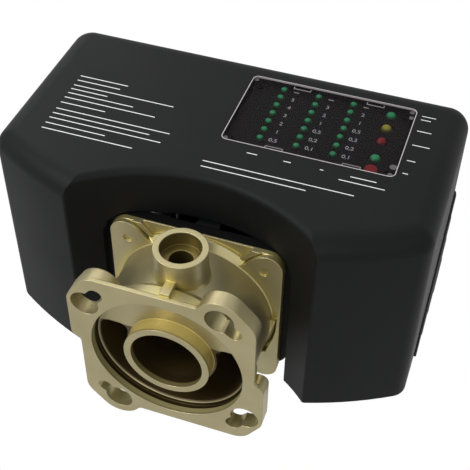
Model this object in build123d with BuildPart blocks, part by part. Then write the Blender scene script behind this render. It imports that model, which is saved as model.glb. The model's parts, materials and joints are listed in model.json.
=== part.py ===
from build123d import *
import math
import os

os.makedirs("parts", exist_ok=True)

# The water axis runs along Y through the middle of the flange face, which lies at Y = 0.
# Z leaves the lamp panel, X is to the right of someone who looks at the flange.
clear = 0.3
run_fit = 0.05

# Ball valve and gear pair, which set the length of the pieces on the water axis and the room under the hood
ball_y = 92.0
ball_r = 16.0
gear_module = 1.0
gear_teeth = 66
pinion_teeth = 24
tooth_tip = 0.85
gear_pitch_r = gear_module * gear_teeth / 2
pinion_pitch_r = gear_module * pinion_teeth / 2


def facing(y):
    # Plane parallel to the flange face, y behind it, with X to the right and Z up
    return Plane.XZ.offset(-y)


def level(z):
    return Plane.XY.offset(z)


# Connection casting
seal_bore_r = 36.9
seal_bore_depth = 3.6
undercut_r = 38.0
shelf_y = 6.3
chamber_r = 35.4
shelf_bevel = 0.9
tube_r = 20.8
tube_mouth_r = 17.5
tube_mouth_depth = 7.0
tube_taper_depth = 9.0
tube_bore_r = 16.6
tube_shelf = 1.2
web_y = 7.2
web_thick = 3.0
kidney_top_z = 9.5
kidney_corner_r = 4.5
plate_half = 42.3
plate_corner_r = 10.0
plate_edge = 2.1
lobe_depth = 8.1
key_circle_r = 46.0
key_start = 45.0
key_turn = 11.0
key_head_r = 6.8
key_bolt_r = 3.6
tall_lobe_head_r = 10.9
tall_lobe_bolt_r = 9.7
wide_lobe_head_r = 8.7
wide_lobe_bolt_r = 9.7
wide_lobe_low_z = 0.5
wide_lobe_end_r = 4.0
lobe_blend_r = 3.0
drum_front_r = 41.0
drum_front_y = 8.5
drum_r = 38.2
drum_waist_y = 12.0
casting_depth = 44.0
rear_half = 42.0
rear_corner_r = 8.0
rear_plate_thick = 2.5
rear_ring_r = 41.2
ear_thick = 5.0
gusset_thick = 7.4
gusset_top_z = 3.3
pocket_floor = 1.0
pocket_rib_height = 0.8
fixing_x = 33.2
fixing_z = 32.0
fixing_hole_r = 2.5
fixing_hole_depth = 3.6
dimple_r = 2.3
dimple_depth = 0.8
port_r = 12.4
port_rim_z = 52.7
port_from_back = 21.5
port_bore_r = 9.5
port_bore_depth = 7.4
port_hole_r = 5.5
port_root_z = 30.0
port_fillet_r = 4.5
port_fillet_z = 38.5
lug_width = 4.6
lug_top_z = 43.8
lug_back_y = 14.0
# Outlines of the rear plate: steps from a screw to the top edge of its ear, and points of the side pockets
ear_shoulder = (1.8, 9.8)
ear_flank = 2.3
ear_curve = ((-4.3, 7.6), (-8.4, 3.0), (-12.7, 0.6))
side_pocket = (
    (40.6, 3.3),
    (40.3, -5.6),
    (39.3, -11.6),
    (35.8, -23.5),
    (28.0, -26.0),
    (24.0, -20.0),
    (34.0, 3.3),
)
gusset = ((34.0, 3.3), (40.6, 3.3), (36.0, -14.0), (30.0, -14.0))
top_pocket = ((26.8, 42.0), (21.3, 35.4))
pocket_rib = ((31.0, 42.0), (26.8, 42.0), (21.3, 35.4), (22.6, 34.2))

rear_plate_y = casting_depth - rear_plate_thick
ear_y = casting_depth - ear_thick
drum_end_y = ear_y - 0.5
port_y = casting_depth - port_from_back

head_angle = key_start + key_turn
slot_chord = 2 * key_circle_r * math.sin(math.radians(key_turn / 2))
slot_mid_r = key_circle_r * math.cos(math.radians(key_turn / 2))


def on_key_circle(degrees):
    angle = math.radians(degrees)
    return (key_circle_r * math.cos(angle), key_circle_r * math.sin(angle))


def lobe_pair(low_end):
    # Right-hand member of each pair of lobes; a half turn about the water axis gives the other one
    with BuildSketch() as lobe:
        with BuildSketch(mode=Mode.PRIVATE) as tall:
            with Locations(on_key_circle(head_angle)):
                Circle(tall_lobe_head_r)
            with Locations(on_key_circle(key_start)):
                Circle(tall_lobe_bolt_r)
            make_hull()
        with BuildSketch(mode=Mode.PRIVATE) as wide:
            wide_head = on_key_circle(head_angle - 90)
            with Locations(wide_head):
                Circle(wide_lobe_head_r)
            with Locations((wide_head[0] + wide_lobe_head_r - wide_lobe_end_r, -low_end - wide_lobe_end_r)):
                Circle(wide_lobe_end_r)
            with Locations(on_key_circle(key_start - 90)):
                Circle(wide_lobe_bolt_r)
            make_hull()
        with PolarLocations(0, 2):
            add(tall.sketch)
            add(wide.sketch)
    return lobe.sketch


def at_plate_edge(corner):
    # True where a lobe leaves a straight side of the plate
    on_top_side = abs(abs(corner.Y) - plate_half) < 0.01 and abs(corner.X) < plate_half / 2
    on_flank = abs(abs(corner.X) - plate_half) < 0.01 and abs(corner.Y) < plate_half / 2
    return on_top_side or on_flank


with BuildPart() as connection_casting:
    with BuildSketch(facing(0)) as flange_outline:
        RectangleRounded(2 * plate_half, 2 * plate_half, plate_corner_r)
        add(lobe_pair(wide_lobe_low_z))
        fillet(flange_outline.vertices().filter_by(at_plate_edge), lobe_blend_r)
    extrude(amount=-plate_edge)
    with BuildSketch(facing(0)):
        add(lobe_pair(wide_lobe_low_z))
    extrude(amount=-lobe_depth)
    with BuildSketch(Plane.XY):
        with BuildLine():
            Polyline((0, 0), (drum_front_r, 0), (drum_front_r, drum_front_y), (drum_r, drum_waist_y),
                     (drum_r, drum_end_y), (rear_ring_r, rear_plate_y), (rear_ring_r, casting_depth),
                     (0, casting_depth), (0, 0))
        make_face()
    revolve(axis=Axis.Y)
    with BuildSketch(facing(rear_plate_y)):
        RectangleRounded(2 * rear_half, 2 * rear_half, rear_corner_r)
    extrude(amount=rear_plate_y - casting_depth)
    # Thin pockets along the top and bottom of the plate, each ended by a slanting rib
    with BuildSketch(facing(rear_plate_y)):
        with BuildSketch(mode=Mode.PRIVATE) as pocket:
            Polygon(*[(-x, z) for x, z in top_pocket], *reversed(top_pocket), align=None)
        add(pocket.sketch)
        mirror(pocket.sketch, about=Plane.XZ)
        Circle(rear_ring_r, mode=Mode.SUBTRACT)
    extrude(amount=pocket_floor - rear_plate_thick, mode=Mode.SUBTRACT)
    with BuildSketch(facing(rear_plate_y - pocket_rib_height)):
        with BuildSketch(mode=Mode.PRIVATE) as rib:
            Polygon(*pocket_rib, align=None)
            mirror(about=Plane.YZ)
        add(rib.sketch)
        mirror(rib.sketch, about=Plane.XZ)
    extrude(amount=-pocket_rib_height - rear_plate_thick)
    # Ears round the screws, with S-shaped edges that run into the drum, and an open pocket low on each side
    with BuildSketch(facing(ear_y)):
        with BuildSketch(mode=Mode.PRIVATE) as ear:
            with BuildLine():
                shoulder = (fixing_x + ear_shoulder[0], fixing_z + ear_shoulder[1])
                flank = (rear_half, fixing_z + ear_flank)
                edge = Spline(shoulder, *[(fixing_x + x, fixing_z + z) for x, z in ear_curve],
                              tangents=((-1, 0), (-1, -0.1)))
                Polyline(edge @ 1, ((edge @ 1).X, 0), (rear_half, 0), flank)
                TangentArc(flank, shoulder, tangent=(0, 1))
            make_face()
            mirror(about=Plane.XZ)
            Polygon(*side_pocket, align=None, mode=Mode.SUBTRACT)
        add(ear.sketch)
        mirror(ear.sketch, about=Plane.YZ)
    extrude(amount=-ear_thick)
    with BuildSketch(facing(casting_depth - gusset_thick)):
        Polygon(*gusset, align=None)
        mirror(about=Plane.YZ)
    extrude(amount=-gusset_thick)
    # Vertical port for a gauge or plug, and the lug that ties its root to the flange
    with BuildSketch(level(port_root_z)):
        with Locations((0, port_y)):
            Circle(port_r)
    extrude(amount=port_rim_z - port_root_z)
    with BuildSketch(Plane.YZ):
        with BuildLine():
            flare = JernArc((port_y + port_r, port_fillet_z), (0, -1), port_fillet_r, 70)
            Polyline(flare @ 1, ((flare @ 1).X, port_root_z), (port_y, port_root_z), (port_y, port_fillet_z),
                     flare @ 0)
        make_face()
    revolve(axis=Axis((0, port_y, 0), (0, 0, 1)))
    with BuildSketch(level(port_root_z)):
        with Locations((0, lug_back_y / 2 + plate_edge / 2)):
            Rectangle(lug_width, lug_back_y - plate_edge)
    extrude(amount=lug_top_z - port_root_z)
    # Chamber of the return flow behind the seal bore
    with BuildSketch(facing(0)):
        Circle(seal_bore_r)
    extrude(amount=-seal_bore_depth - 0.01, mode=Mode.SUBTRACT)
    with BuildSketch(facing(seal_bore_depth)):
        Circle(undercut_r)
    extrude(amount=seal_bore_depth - shelf_y, mode=Mode.SUBTRACT)
    with BuildSketch(Plane.XY):
        with BuildLine():
            Polyline((0, shelf_y), (chamber_r + shelf_bevel, shelf_y), (chamber_r, shelf_y + shelf_bevel),
                     (chamber_r, casting_depth), (0, casting_depth), (0, shelf_y))
        make_face()
    revolve(axis=Axis.Y, mode=Mode.SUBTRACT)
    # Inner tube with the web that closes the upper part of the ring around it
    with BuildSketch(facing(0)):
        Circle(tube_r)
    extrude(amount=-casting_depth)
    with BuildSketch(facing(web_y)):
        Circle(chamber_r + 0.5)
        with BuildSketch(mode=Mode.PRIVATE) as kidney:
            Circle(chamber_r)
            Circle(tube_r + tube_shelf, mode=Mode.SUBTRACT)
            with Locations((0, kidney_top_z + chamber_r)):
                Rectangle(2 * chamber_r, 2 * chamber_r, mode=Mode.SUBTRACT)
            fillet(kidney.vertices().group_by(Axis.Y)[-1], kidney_corner_r)
        add(kidney.sketch, mode=Mode.SUBTRACT)
    extrude(amount=-web_thick)
    with BuildSketch(Plane.XY):
        with BuildLine():
            Polyline((0, 0), (tube_mouth_r, 0), (tube_mouth_r, tube_mouth_depth),
                     (tube_bore_r, tube_mouth_depth + tube_taper_depth), (tube_bore_r, casting_depth),
                     (0, casting_depth), (0, 0))
        make_face()
    revolve(axis=Axis.Y, mode=Mode.SUBTRACT)
    # Port bore and its way into the chamber
    with BuildSketch(level(port_rim_z)):
        with Locations((0, port_y)):
            Circle(port_bore_r)
    extrude(amount=-port_bore_depth, mode=Mode.SUBTRACT)
    with BuildSketch(level(port_rim_z)):
        with Locations((0, port_y)):
            Circle(port_hole_r)
    extrude(amount=port_root_z - port_rim_z, mode=Mode.SUBTRACT)
    # Keyholes: the bolt heads pass the large ends, then a short turn brings the bolts into the small ends
    with BuildSketch(facing(0)):
        with PolarLocations(key_circle_r, 4, start_angle=key_start):
            Circle(key_bolt_r)
        with PolarLocations(key_circle_r, 4, start_angle=head_angle):
            Circle(key_head_r)
        with PolarLocations(slot_mid_r, 4, start_angle=key_start + key_turn / 2):
            SlotCenterToCenter(slot_chord, 2 * key_bolt_r, rotation=90)
    extrude(amount=-drum_waist_y, mode=Mode.SUBTRACT)
    # Blind threads for the screws that come through the valve housing, and the cast dimples over them
    with BuildSketch(facing(casting_depth)):
        with GridLocations(2 * fixing_x, 2 * fixing_z, 2, 2):
            Circle(fixing_hole_r)
    extrude(amount=fixing_hole_depth, mode=Mode.SUBTRACT)
    with BuildSketch(facing(ear_y)):
        with Locations((fixing_x, fixing_z), (-fixing_x, fixing_z)):
            Circle(dimple_r)
    extrude(amount=-dimple_depth, mode=Mode.SUBTRACT)
connection_casting.part.label = "connection_casting"
export_step(connection_casting.part, "parts/connection_casting.step")

# Hood
hood_half = 104.4
hood_back = 147.3
hood_top = 67.5
hood_bottom = -42.3
hood_wall = 2.5
roof_thick = 3.0
front_arc_r = 192.0
front_arc_y = 211.8
front_corner_r = 9.0
back_corner_r = 11.0
top_edge_r = 10.0
recess_r = 84.6
recess_edge_r = 3.4
hood_gear_gap = 2.95
recess_corner_r = 1.8
mouth_half = 46.0
mouth_top_z = 42.5
mouth_corner_r = 11.0
guide_thick = 2.0
guide_back_y = 52.0
grip_pitch = 15.5
grip_count = 5
grip_width = 6.0
grip_height = 1.2
grip_first_z = 27.3
grip_front_y = 76.0
grip_top_z = 30.0
window_x = 38.15
window_y = 107.7
window_width = 82.7
window_depth = 52.2
window_corner_r = 3.0
window_ledge = 1.0
lens_thick = 1.2
lens_fit = 0.1
clip_x = 18.4
clip_width = 8.6
clip_thick = 0.8
clip_drop = 2.2

front_start_y = front_arc_y - front_arc_r - front_corner_r
# The recess wall passes just in front of the output gear
recess_back_y = ball_y - gear_pitch_r - tooth_tip * gear_module - hood_gear_gap - hood_wall
recess_y = recess_back_y - recess_r
guide_front_y = recess_y + math.sqrt(recess_r ** 2 - mouth_half ** 2) + hood_wall / 3


def hood_plan(inset):
    back = hood_back - inset
    with BuildSketch() as plan:
        with Locations((0, (back + front_start_y) / 2)):
            Rectangle(2 * (hood_half - inset), back - front_start_y)
        with Locations((0, front_arc_y)):
            Circle(front_arc_r - inset, mode=Mode.INTERSECT)
        corners = plan.vertices().filter_by(lambda v: abs(v.X) > hood_half - inset - 1).sort_by(Axis.Y)
        fillet(corners[:2], front_corner_r - inset)
        corners = plan.vertices().filter_by(lambda v: abs(v.X) > hood_half - inset - 1).sort_by(Axis.Y)
        fillet(corners[-2:], back_corner_r - inset)
    return plan.sketch


with BuildPart() as recess_tool:
    with BuildSketch(Plane.XZ.offset(-recess_y)):
        flare_r = recess_r + recess_edge_r
        with BuildLine():
            Polyline((0, hood_bottom - 1), (recess_r, hood_bottom - 1), (recess_r, hood_top - recess_edge_r))
            CenterArc((flare_r, hood_top - recess_edge_r), recess_edge_r, 90, 90)
            Polyline((flare_r, hood_top), (flare_r, hood_top + 1), (0, hood_top + 1), (0, hood_bottom - 1))
        make_face()
    revolve(axis=Axis((0, recess_y, 0), (0, 0, 1)))

with BuildPart() as hood_hollow:
    with BuildSketch(level(hood_bottom - 1)):
        add(hood_plan(hood_wall))
    extrude(amount=hood_top - roof_thick - hood_bottom + 1)
    fillet(hood_hollow.faces().sort_by(Axis.Z)[-1].edges(), top_edge_r - hood_wall)
    with Locations((0, recess_y, 0)):
        Cylinder(recess_r + hood_wall, 4 * hood_top, mode=Mode.SUBTRACT)

with BuildPart() as grip_ribs:
    # Diagonal ribs of a rounded section on both sides, cut off short of the corner and of the top
    with BuildPart(mode=Mode.PRIVATE) as grip_area:
        with Locations((0, (grip_front_y + hood_back - back_corner_r) / 2, (grip_top_z + hood_bottom) / 2)):
            Box(4 * hood_half, hood_back - back_corner_r - grip_front_y, grip_top_z - hood_bottom)
    for side in (-1, 1):
        for step in range(grip_count):
            rib_z = grip_first_z - step * grip_pitch
            lean = Plane(origin=(side * hood_half, hood_back, rib_z), x_dir=(side, 0, 0), z_dir=(0, 1, 1))
            with BuildSketch(lean):
                Ellipse(grip_height, grip_width / 2)
            extrude(amount=3 * hood_half, both=True)
    add(grip_area.part, mode=Mode.INTERSECT)

with BuildPart() as hood:
    with BuildSketch(level(hood_bottom)):
        add(hood_plan(0))
    extrude(amount=hood_top - hood_bottom)
    fillet(hood.faces().sort_by(Axis.Z)[-1].edges(), top_edge_r)
    add(recess_tool.part, mode=Mode.SUBTRACT)
    with BuildSketch(level(hood_bottom - 1)):
        with BuildSketch(mode=Mode.PRIVATE) as legs:
            add(hood_plan(0))
            with Locations((0, recess_y)):
                Circle(recess_r, mode=Mode.SUBTRACT)
            fillet(legs.vertices().filter_by(lambda v: abs(v.X) < hood_half / 1.5 and v.Y < recess_r / 2),
                   recess_corner_r)
        add(legs.sketch)
    extrude(amount=hood_top - hood_bottom + 2, mode=Mode.INTERSECT)
    add(grip_ribs.part)
    add(hood_hollow.part, mode=Mode.SUBTRACT)
    # Mouth in the recess wall, open at the bottom, that lets the hood drop over the connection
    with BuildSketch(facing(recess_back_y / 2)) as mouth:
        with Locations((0, (mouth_top_z + hood_bottom - 1) / 2)):
            Rectangle(2 * mouth_half, mouth_top_z - hood_bottom + 1)
        fillet(mouth.vertices().group_by(Axis.Y)[-1], mouth_corner_r)
    extrude(amount=-recess_back_y / 2 - 2 * hood_wall, mode=Mode.SUBTRACT)
    # Guide ribs behind the sides of the mouth, which slide down past the flange of the valve housing
    with BuildSketch(level(hood_bottom)):
        for side in (-1, 1):
            with Locations((side * (mouth_half + guide_thick / 2), (guide_front_y + guide_back_y) / 2)):
                Rectangle(guide_thick, guide_back_y - guide_front_y)
    extrude(amount=mouth_top_z - hood_bottom)
    # Seat of the window: a pocket for the lens, a ledge, and four notches for its clips
    with BuildSketch(level(hood_top - lens_thick)):
        with Locations((window_x, window_y)):
            RectangleRounded(window_width, window_depth, window_corner_r)
    extrude(amount=lens_thick, mode=Mode.SUBTRACT)
    with BuildSketch(level(hood_top - roof_thick)):
        with Locations((window_x, window_y)):
            RectangleRounded(window_width - 2 * window_ledge, window_depth - 2 * window_ledge,
                             window_corner_r - window_ledge / 2)
            with GridLocations(2 * clip_x, window_depth - window_ledge, 2, 2):
                Rectangle(clip_width + 2 * lens_fit, window_ledge)
    extrude(amount=roof_thick - lens_thick, mode=Mode.SUBTRACT)
hood.part.label = "hood"
export_step(hood.part, "parts/hood.step")

with BuildPart() as window_lens:
    with BuildSketch(level(hood_top - lens_thick)):
        with Locations((window_x, window_y)):
            RectangleRounded(window_width - 2 * lens_fit, window_depth - 2 * lens_fit, window_corner_r - lens_fit)
    extrude(amount=lens_thick)
    with BuildSketch(level(hood_top - lens_thick)):
        with Locations((window_x, window_y)):
            with GridLocations(2 * clip_x, window_depth - window_ledge, 2, 2):
                Rectangle(clip_width, clip_thick)
    extrude(amount=-clip_drop)
window_lens.part.label = "window_lens"
export_step(window_lens.part, "parts/window_lens.step")

# Gasket between casting and valve housing
gasket_thick = 0.8
gasket_r = 38.0
gasket_web = 5.0
housing_y = casting_depth + gasket_thick
annulus_r = 28.0
gasket_slot_r = chamber_r - 1.4

with BuildPart() as body_gasket:
    with BuildSketch(facing(casting_depth)):
        Circle(gasket_r)
        Circle(gasket_slot_r, mode=Mode.SUBTRACT)
        Circle(tube_r)
        with PolarLocations(0, 3, start_angle=90):
            with Locations(((tube_mouth_r + gasket_r) / 2, 0)):
                Rectangle(gasket_r - tube_mouth_r, gasket_web)
        Circle(gasket_r, mode=Mode.INTERSECT)
        Circle(tube_mouth_r, mode=Mode.SUBTRACT)
    extrude(amount=-gasket_thick)
body_gasket.part.label = "body_gasket"
export_step(body_gasket.part, "parts/body_gasket.step")

# Valve housing: an outer tube and an inner liner on one axis, joined by four ribs
flange_mouth_gap = 0.9
flange_bottom_z = -37.5
flange_top_z = 42.0
flange_corner_r = 9.0
flange_thick = 4.2
housing_r = 31.0
turn_gap = 6.0
end_flange_r = 38.0
end_flange_thick = 6.0
liner_r = tube_r
cartridge_r = 18.5
cartridge_end_y = 72.0
shoulder_r = 13.0
shoulder_thick = 3.0
valve_bore_r = 17.5
liner_behind_ball = 4.0
rib_thick = 3.0
stem_r = 4.5
stem_boss_r = 8.5
stem_boss_top_z = 38.0
gland_well_r = 6.8
gland_well_z = 33.0
post_x = 17.0
post_y_pitch = 44.0
post_y = ball_y - 1
post_r = 4.0
drive_plate_z = 39.0
plate_screw_r = 1.5
screw_hole_depth = 8.0
cap_circle_r = 34.4
cap_screw_r = 2.0
seal_groove_r = 29.6
seal_ring_r = 0.9
fixing_pass_r = 2.75
wheel_behind_flange = 13.6
sensor_width = 12.0
sensor_seat_z = 29.0
sensor_seat_cut = 10.0
wheel_y = housing_y + wheel_behind_flange
sensor_y = wheel_y + 0.6
flange_half = mouth_half - flange_mouth_gap
liner_end_y = ball_y + ball_r + liner_behind_ball
housing_end_y = liner_end_y + turn_gap

with BuildPart() as valve_housing:
    with BuildSketch(facing(housing_y)):
        with Locations((0, (flange_bottom_z + flange_top_z) / 2)):
            RectangleRounded(2 * flange_half, flange_top_z - flange_bottom_z, flange_corner_r)
    extrude(amount=-flange_thick)
    with BuildSketch(facing(housing_y)):
        Circle(housing_r)
    extrude(amount=housing_y - housing_end_y)
    with BuildSketch(facing(housing_end_y)):
        Circle(end_flange_r)
    extrude(amount=end_flange_thick)
    with BuildSketch(level(0)):
        with Locations((0, ball_y)):
            Circle(stem_boss_r)
    extrude(amount=stem_boss_top_z)
    with BuildSketch(level(liner_r)):
        with Locations((0, post_y)):
            with GridLocations(2 * post_x, post_y_pitch, 2, 2):
                Circle(post_r)
    extrude(amount=drive_plate_z - liner_r)
    with BuildSketch(facing(housing_y)):
        Circle(gasket_slot_r)
    extrude(amount=-flange_thick, taper=math.degrees(math.atan((gasket_slot_r - annulus_r) / flange_thick)),
            mode=Mode.SUBTRACT)
    with BuildSketch(facing(housing_y)):
        Circle(annulus_r)
    extrude(amount=housing_y - housing_end_y, mode=Mode.SUBTRACT)
    # Liner, its ribs and the stem boss where it crosses the ring of the return flow
    with BuildSketch(facing(housing_y)):
        Circle(liner_r)
    extrude(amount=housing_y - liner_end_y)
    with BuildSketch(facing(housing_y + flange_thick)):
        with PolarLocations((liner_r + annulus_r) / 2, 4, start_angle=45):
            Rectangle(annulus_r - liner_r + 1.5, rib_thick)
    extrude(amount=housing_y + flange_thick - liner_end_y)
    with BuildSketch(level(liner_r - 2)):
        with Locations((0, ball_y)):
            Circle(stem_boss_r)
    extrude(amount=stem_boss_top_z - liner_r)
    with BuildSketch(facing(housing_y)):
        Circle(cartridge_r)
    extrude(amount=housing_y - cartridge_end_y, mode=Mode.SUBTRACT)
    with BuildSketch(facing(cartridge_end_y)):
        Circle(shoulder_r)
    extrude(amount=-shoulder_thick, mode=Mode.SUBTRACT)
    with BuildSketch(facing(cartridge_end_y + shoulder_thick)):
        Circle(valve_bore_r)
    extrude(amount=cartridge_end_y + shoulder_thick - liner_end_y, mode=Mode.SUBTRACT)
    with BuildSketch(level(0)):
        with Locations((0, ball_y)):
            Circle(stem_r + run_fit)
    extrude(amount=stem_boss_top_z, mode=Mode.SUBTRACT)
    with BuildSketch(level(gland_well_z)):
        with Locations((0, ball_y)):
            Circle(gland_well_r)
    extrude(amount=stem_boss_top_z - gland_well_z, mode=Mode.SUBTRACT)
    # Holes for the screws and the groove of the end seal
    with BuildSketch(facing(housing_y)):
        with GridLocations(2 * fixing_x, 2 * fixing_z, 2, 2):
            Circle(fixing_pass_r)
    extrude(amount=-flange_thick, mode=Mode.SUBTRACT)
    with BuildSketch(facing(housing_end_y)):
        with PolarLocations(cap_circle_r, 6, start_angle=30):
            Circle(cap_screw_r)
    extrude(amount=end_flange_thick, mode=Mode.SUBTRACT)
    with BuildSketch(facing(housing_end_y)):
        Circle(seal_groove_r + seal_ring_r)
        Circle(seal_groove_r - seal_ring_r, mode=Mode.SUBTRACT)
    extrude(amount=2 * seal_ring_r, mode=Mode.SUBTRACT)
    with BuildSketch(level(drive_plate_z)):
        with Locations((0, post_y)):
            with GridLocations(2 * post_x, post_y_pitch, 2, 2):
                Circle(plate_screw_r)
    extrude(amount=-screw_hole_depth, mode=Mode.SUBTRACT)
    # Flat seat for the flow sensor on top of the turbine
    with Locations((0, sensor_y, sensor_seat_z + sensor_seat_cut / 2)):
        Box(sensor_width, sensor_width, sensor_seat_cut, mode=Mode.SUBTRACT)
valve_housing.part.label = "valve_housing"
export_step(valve_housing.part, "parts/valve_housing.step")

# End cap, which turns the flow back into the outer ring
cap_flange_thick = 4.0
cap_dome_r = 30.5
cap_dome_depth = 10.5
cap_dome_y = housing_end_y + cap_dome_depth
cap_wall = 3.0
cap_edge_r = 5.0

with BuildPart() as end_cap:
    with BuildSketch(facing(housing_end_y)):
        Circle(cap_dome_r)
    extrude(amount=housing_end_y - cap_dome_y)
    fillet(end_cap.edges().sort_by(Axis.Y)[-1], cap_edge_r)
    with BuildSketch(facing(housing_end_y)):
        Circle(end_flange_r)
    extrude(amount=-cap_flange_thick)
    with BuildPart(mode=Mode.PRIVATE) as dome_space:
        with BuildSketch(facing(housing_end_y)):
            Circle(annulus_r - 0.5)
        extrude(amount=housing_end_y + cap_wall - cap_dome_y)
        fillet(dome_space.edges().sort_by(Axis.Y)[-1], cap_edge_r - 1)
    add(dome_space.part, mode=Mode.SUBTRACT)
    with BuildSketch(facing(housing_end_y)):
        with PolarLocations(cap_circle_r, 6, start_angle=30):
            Circle(cap_screw_r + 0.2)
    extrude(amount=-cap_flange_thick, mode=Mode.SUBTRACT)
    # Round the dome, shallow seats let the screw heads lie flat on the flange
    with BuildSketch(facing(housing_end_y + cap_flange_thick)):
        with PolarLocations(cap_circle_r, 6, start_angle=30):
            Circle(2.1 * cap_screw_r)
    extrude(amount=housing_end_y + cap_flange_thick - cap_dome_y, mode=Mode.SUBTRACT)
end_cap.part.label = "end_cap"
export_step(end_cap.part, "parts/end_cap.step")

with BuildPart() as end_cap_seal:
    with Locations((0, housing_end_y - seal_ring_r, 0)):
        Torus(seal_groove_r, seal_ring_r, rotation=(90, 0, 0))
end_cap_seal.part.label = "end_cap_seal"
export_step(end_cap_seal.part, "parts/end_cap_seal.step")


def socket_screw(shank_r, length, head_r, head_height):
    # Screw along +Z with its head under the origin plane and a hexagon socket in the head
    with BuildPart() as screw:
        with BuildSketch():
            Circle(head_r)
        extrude(amount=head_height)
        with BuildSketch():
            Circle(shank_r)
        extrude(amount=-length)
        with BuildSketch(Plane.XY.offset(head_height)):
            RegularPolygon(head_r / 2, 6)
        extrude(amount=-head_height / 2, mode=Mode.SUBTRACT)
    return screw.part


def flush_screw(shank_r, length, head_r):
    # Countersunk screw along +Z whose head lies flush with the origin plane
    with BuildPart() as screw:
        with Locations((0, 0, (shank_r - head_r) / 2)):
            Cone(shank_r, head_r, head_r - shank_r)
        with BuildSketch():
            Circle(shank_r)
        extrude(amount=-length)
        with BuildSketch():
            Rectangle(1.6 * head_r, head_r / 5)
            Rectangle(head_r / 5, 1.6 * head_r)
        extrude(amount=-(head_r - shank_r) / 2, mode=Mode.SUBTRACT)
    return screw.part


def facing_back(y):
    # Plane at y whose normal points to the back
    return Plane(origin=(0, y, 0), x_dir=(-1, 0, 0), z_dir=(0, 1, 0))


fixing_head_r = 4.2
fixing_head_height = 4.5
fixing_length = flange_thick + gasket_thick + fixing_hole_depth - clear
with BuildPart() as flange_screws:
    with Locations(facing_back(housing_y + flange_thick)):
        with GridLocations(2 * fixing_x, 2 * fixing_z, 2, 2):
            add(socket_screw(fixing_hole_r - run_fit, fixing_length, fixing_head_r, fixing_head_height))
flange_screws.part.label = "flange_screws"
export_step(flange_screws.part, "parts/flange_screws.step")

cap_head_r = 3.5
cap_head_height = 3.5
cap_screw_length = cap_flange_thick + end_flange_thick - clear
with BuildPart() as cap_screws:
    with Locations(facing_back(housing_end_y + cap_flange_thick)):
        with PolarLocations(cap_circle_r, 6, start_angle=30):
            add(socket_screw(cap_screw_r - run_fit, cap_screw_length, cap_head_r, cap_head_height))
cap_screws.part.label = "cap_screws"
export_step(cap_screws.part, "parts/cap_screws.step")

# Turbine that counts the water, between two spiders in the liner
axle_r = 1.0
spider_hub_r = 4.0
spider_thick = 4.0
spider_wall = 1.6
spider_gap = 0.4
spider_front_y = housing_y + spider_gap
spider_arm = 1.6
wheel_length = 8.0
wheel_r = 15.4
wheel_hub_r = 4.5
blade_count = 7
blade_lean = 35
blade_thick = 1.2
axle_end_gap = 0.3
spider_fit = 0.05


def spider(front_y, reach_y):
    # Ring with a bearing hub on three arms; a thin sleeve runs back from it to reach_y
    with BuildPart() as guide:
        with BuildSketch(facing(front_y)):
            Circle(cartridge_r - spider_fit)
            Circle(cartridge_r - spider_wall, mode=Mode.SUBTRACT)
            with PolarLocations(cartridge_r / 2, 3, start_angle=90):
                Rectangle(cartridge_r - spider_wall / 2, spider_arm)
            Circle(spider_hub_r)
            Circle(axle_r + run_fit, mode=Mode.SUBTRACT)
        extrude(amount=-spider_thick)
        with BuildSketch(facing(front_y)):
            Circle(cartridge_r - spider_fit)
            Circle(cartridge_r - spider_wall, mode=Mode.SUBTRACT)
        extrude(amount=front_y - reach_y)
    return guide.part


rear_spider_y = cartridge_end_y - spider_thick
with BuildPart() as turbine_front_spider:
    add(spider(spider_front_y, rear_spider_y))
turbine_front_spider.part.label = "turbine_front_spider"
export_step(turbine_front_spider.part, "parts/turbine_front_spider.step")

with BuildPart() as turbine_rear_spider:
    add(spider(rear_spider_y, cartridge_end_y))
turbine_rear_spider.part.label = "turbine_rear_spider"
export_step(turbine_rear_spider.part, "parts/turbine_rear_spider.step")

with BuildPart() as turbine_wheel:
    with Locations(facing(wheel_y)):
        with PolarLocations(wheel_r / 2, blade_count):
            Box(wheel_r, blade_thick, wheel_length, rotation=(blade_lean, 0, 0))
    with BuildPart(mode=Mode.PRIVATE) as sweep_space:
        with BuildSketch(facing(wheel_y - wheel_length / 2)):
            Circle(wheel_r)
        extrude(amount=-wheel_length)
    add(sweep_space.part, mode=Mode.INTERSECT)
    with BuildSketch(facing(wheel_y - wheel_length / 2)):
        Circle(wheel_hub_r)
    extrude(amount=-wheel_length)
    with BuildSketch(facing(wheel_y - wheel_length / 2)):
        Circle(axle_r)
    extrude(amount=-wheel_length, mode=Mode.SUBTRACT)
turbine_wheel.part.label = "turbine_wheel"
export_step(turbine_wheel.part, "parts/turbine_wheel.step")

with BuildPart() as turbine_axle:
    with BuildSketch(facing(spider_front_y + axle_end_gap)):
        Circle(axle_r)
    extrude(amount=spider_front_y + 2 * axle_end_gap - cartridge_end_y)
turbine_axle.part.label = "turbine_axle"
export_step(turbine_axle.part, "parts/turbine_axle.step")

sensor_height = 6.0
sensor_corner_r = 1.5
sensor_plug = (5.0, 6.0, 2.6)
with BuildPart() as flow_sensor:
    with BuildSketch(level(sensor_seat_z)):
        with Locations((0, sensor_y)):
            RectangleRounded(sensor_width - 2 * clear, sensor_width - 2 * clear, sensor_corner_r)
    extrude(amount=sensor_height)
    with Locations((0, sensor_y + sensor_width / 2, sensor_seat_z + sensor_height)):
        Box(*sensor_plug, align=(Align.CENTER, Align.CENTER, Align.MAX))
flow_sensor.part.label = "flow_sensor"
export_step(flow_sensor.part, "parts/flow_sensor.step")

# Ball valve
ball_bore_r = 10.0
seat_contact_r = 12.5
seat_front_y = cartridge_end_y + shoulder_thick
seat_outer_r = valve_bore_r - run_fit
retainer_thick = 3.0
retainer_key_r = 1.6
tongue_width = 5.0
tongue_length = 11.0
tongue_low_z = 12.4
tongue_top_z = 16.2
tongue_play = 0.2

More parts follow.
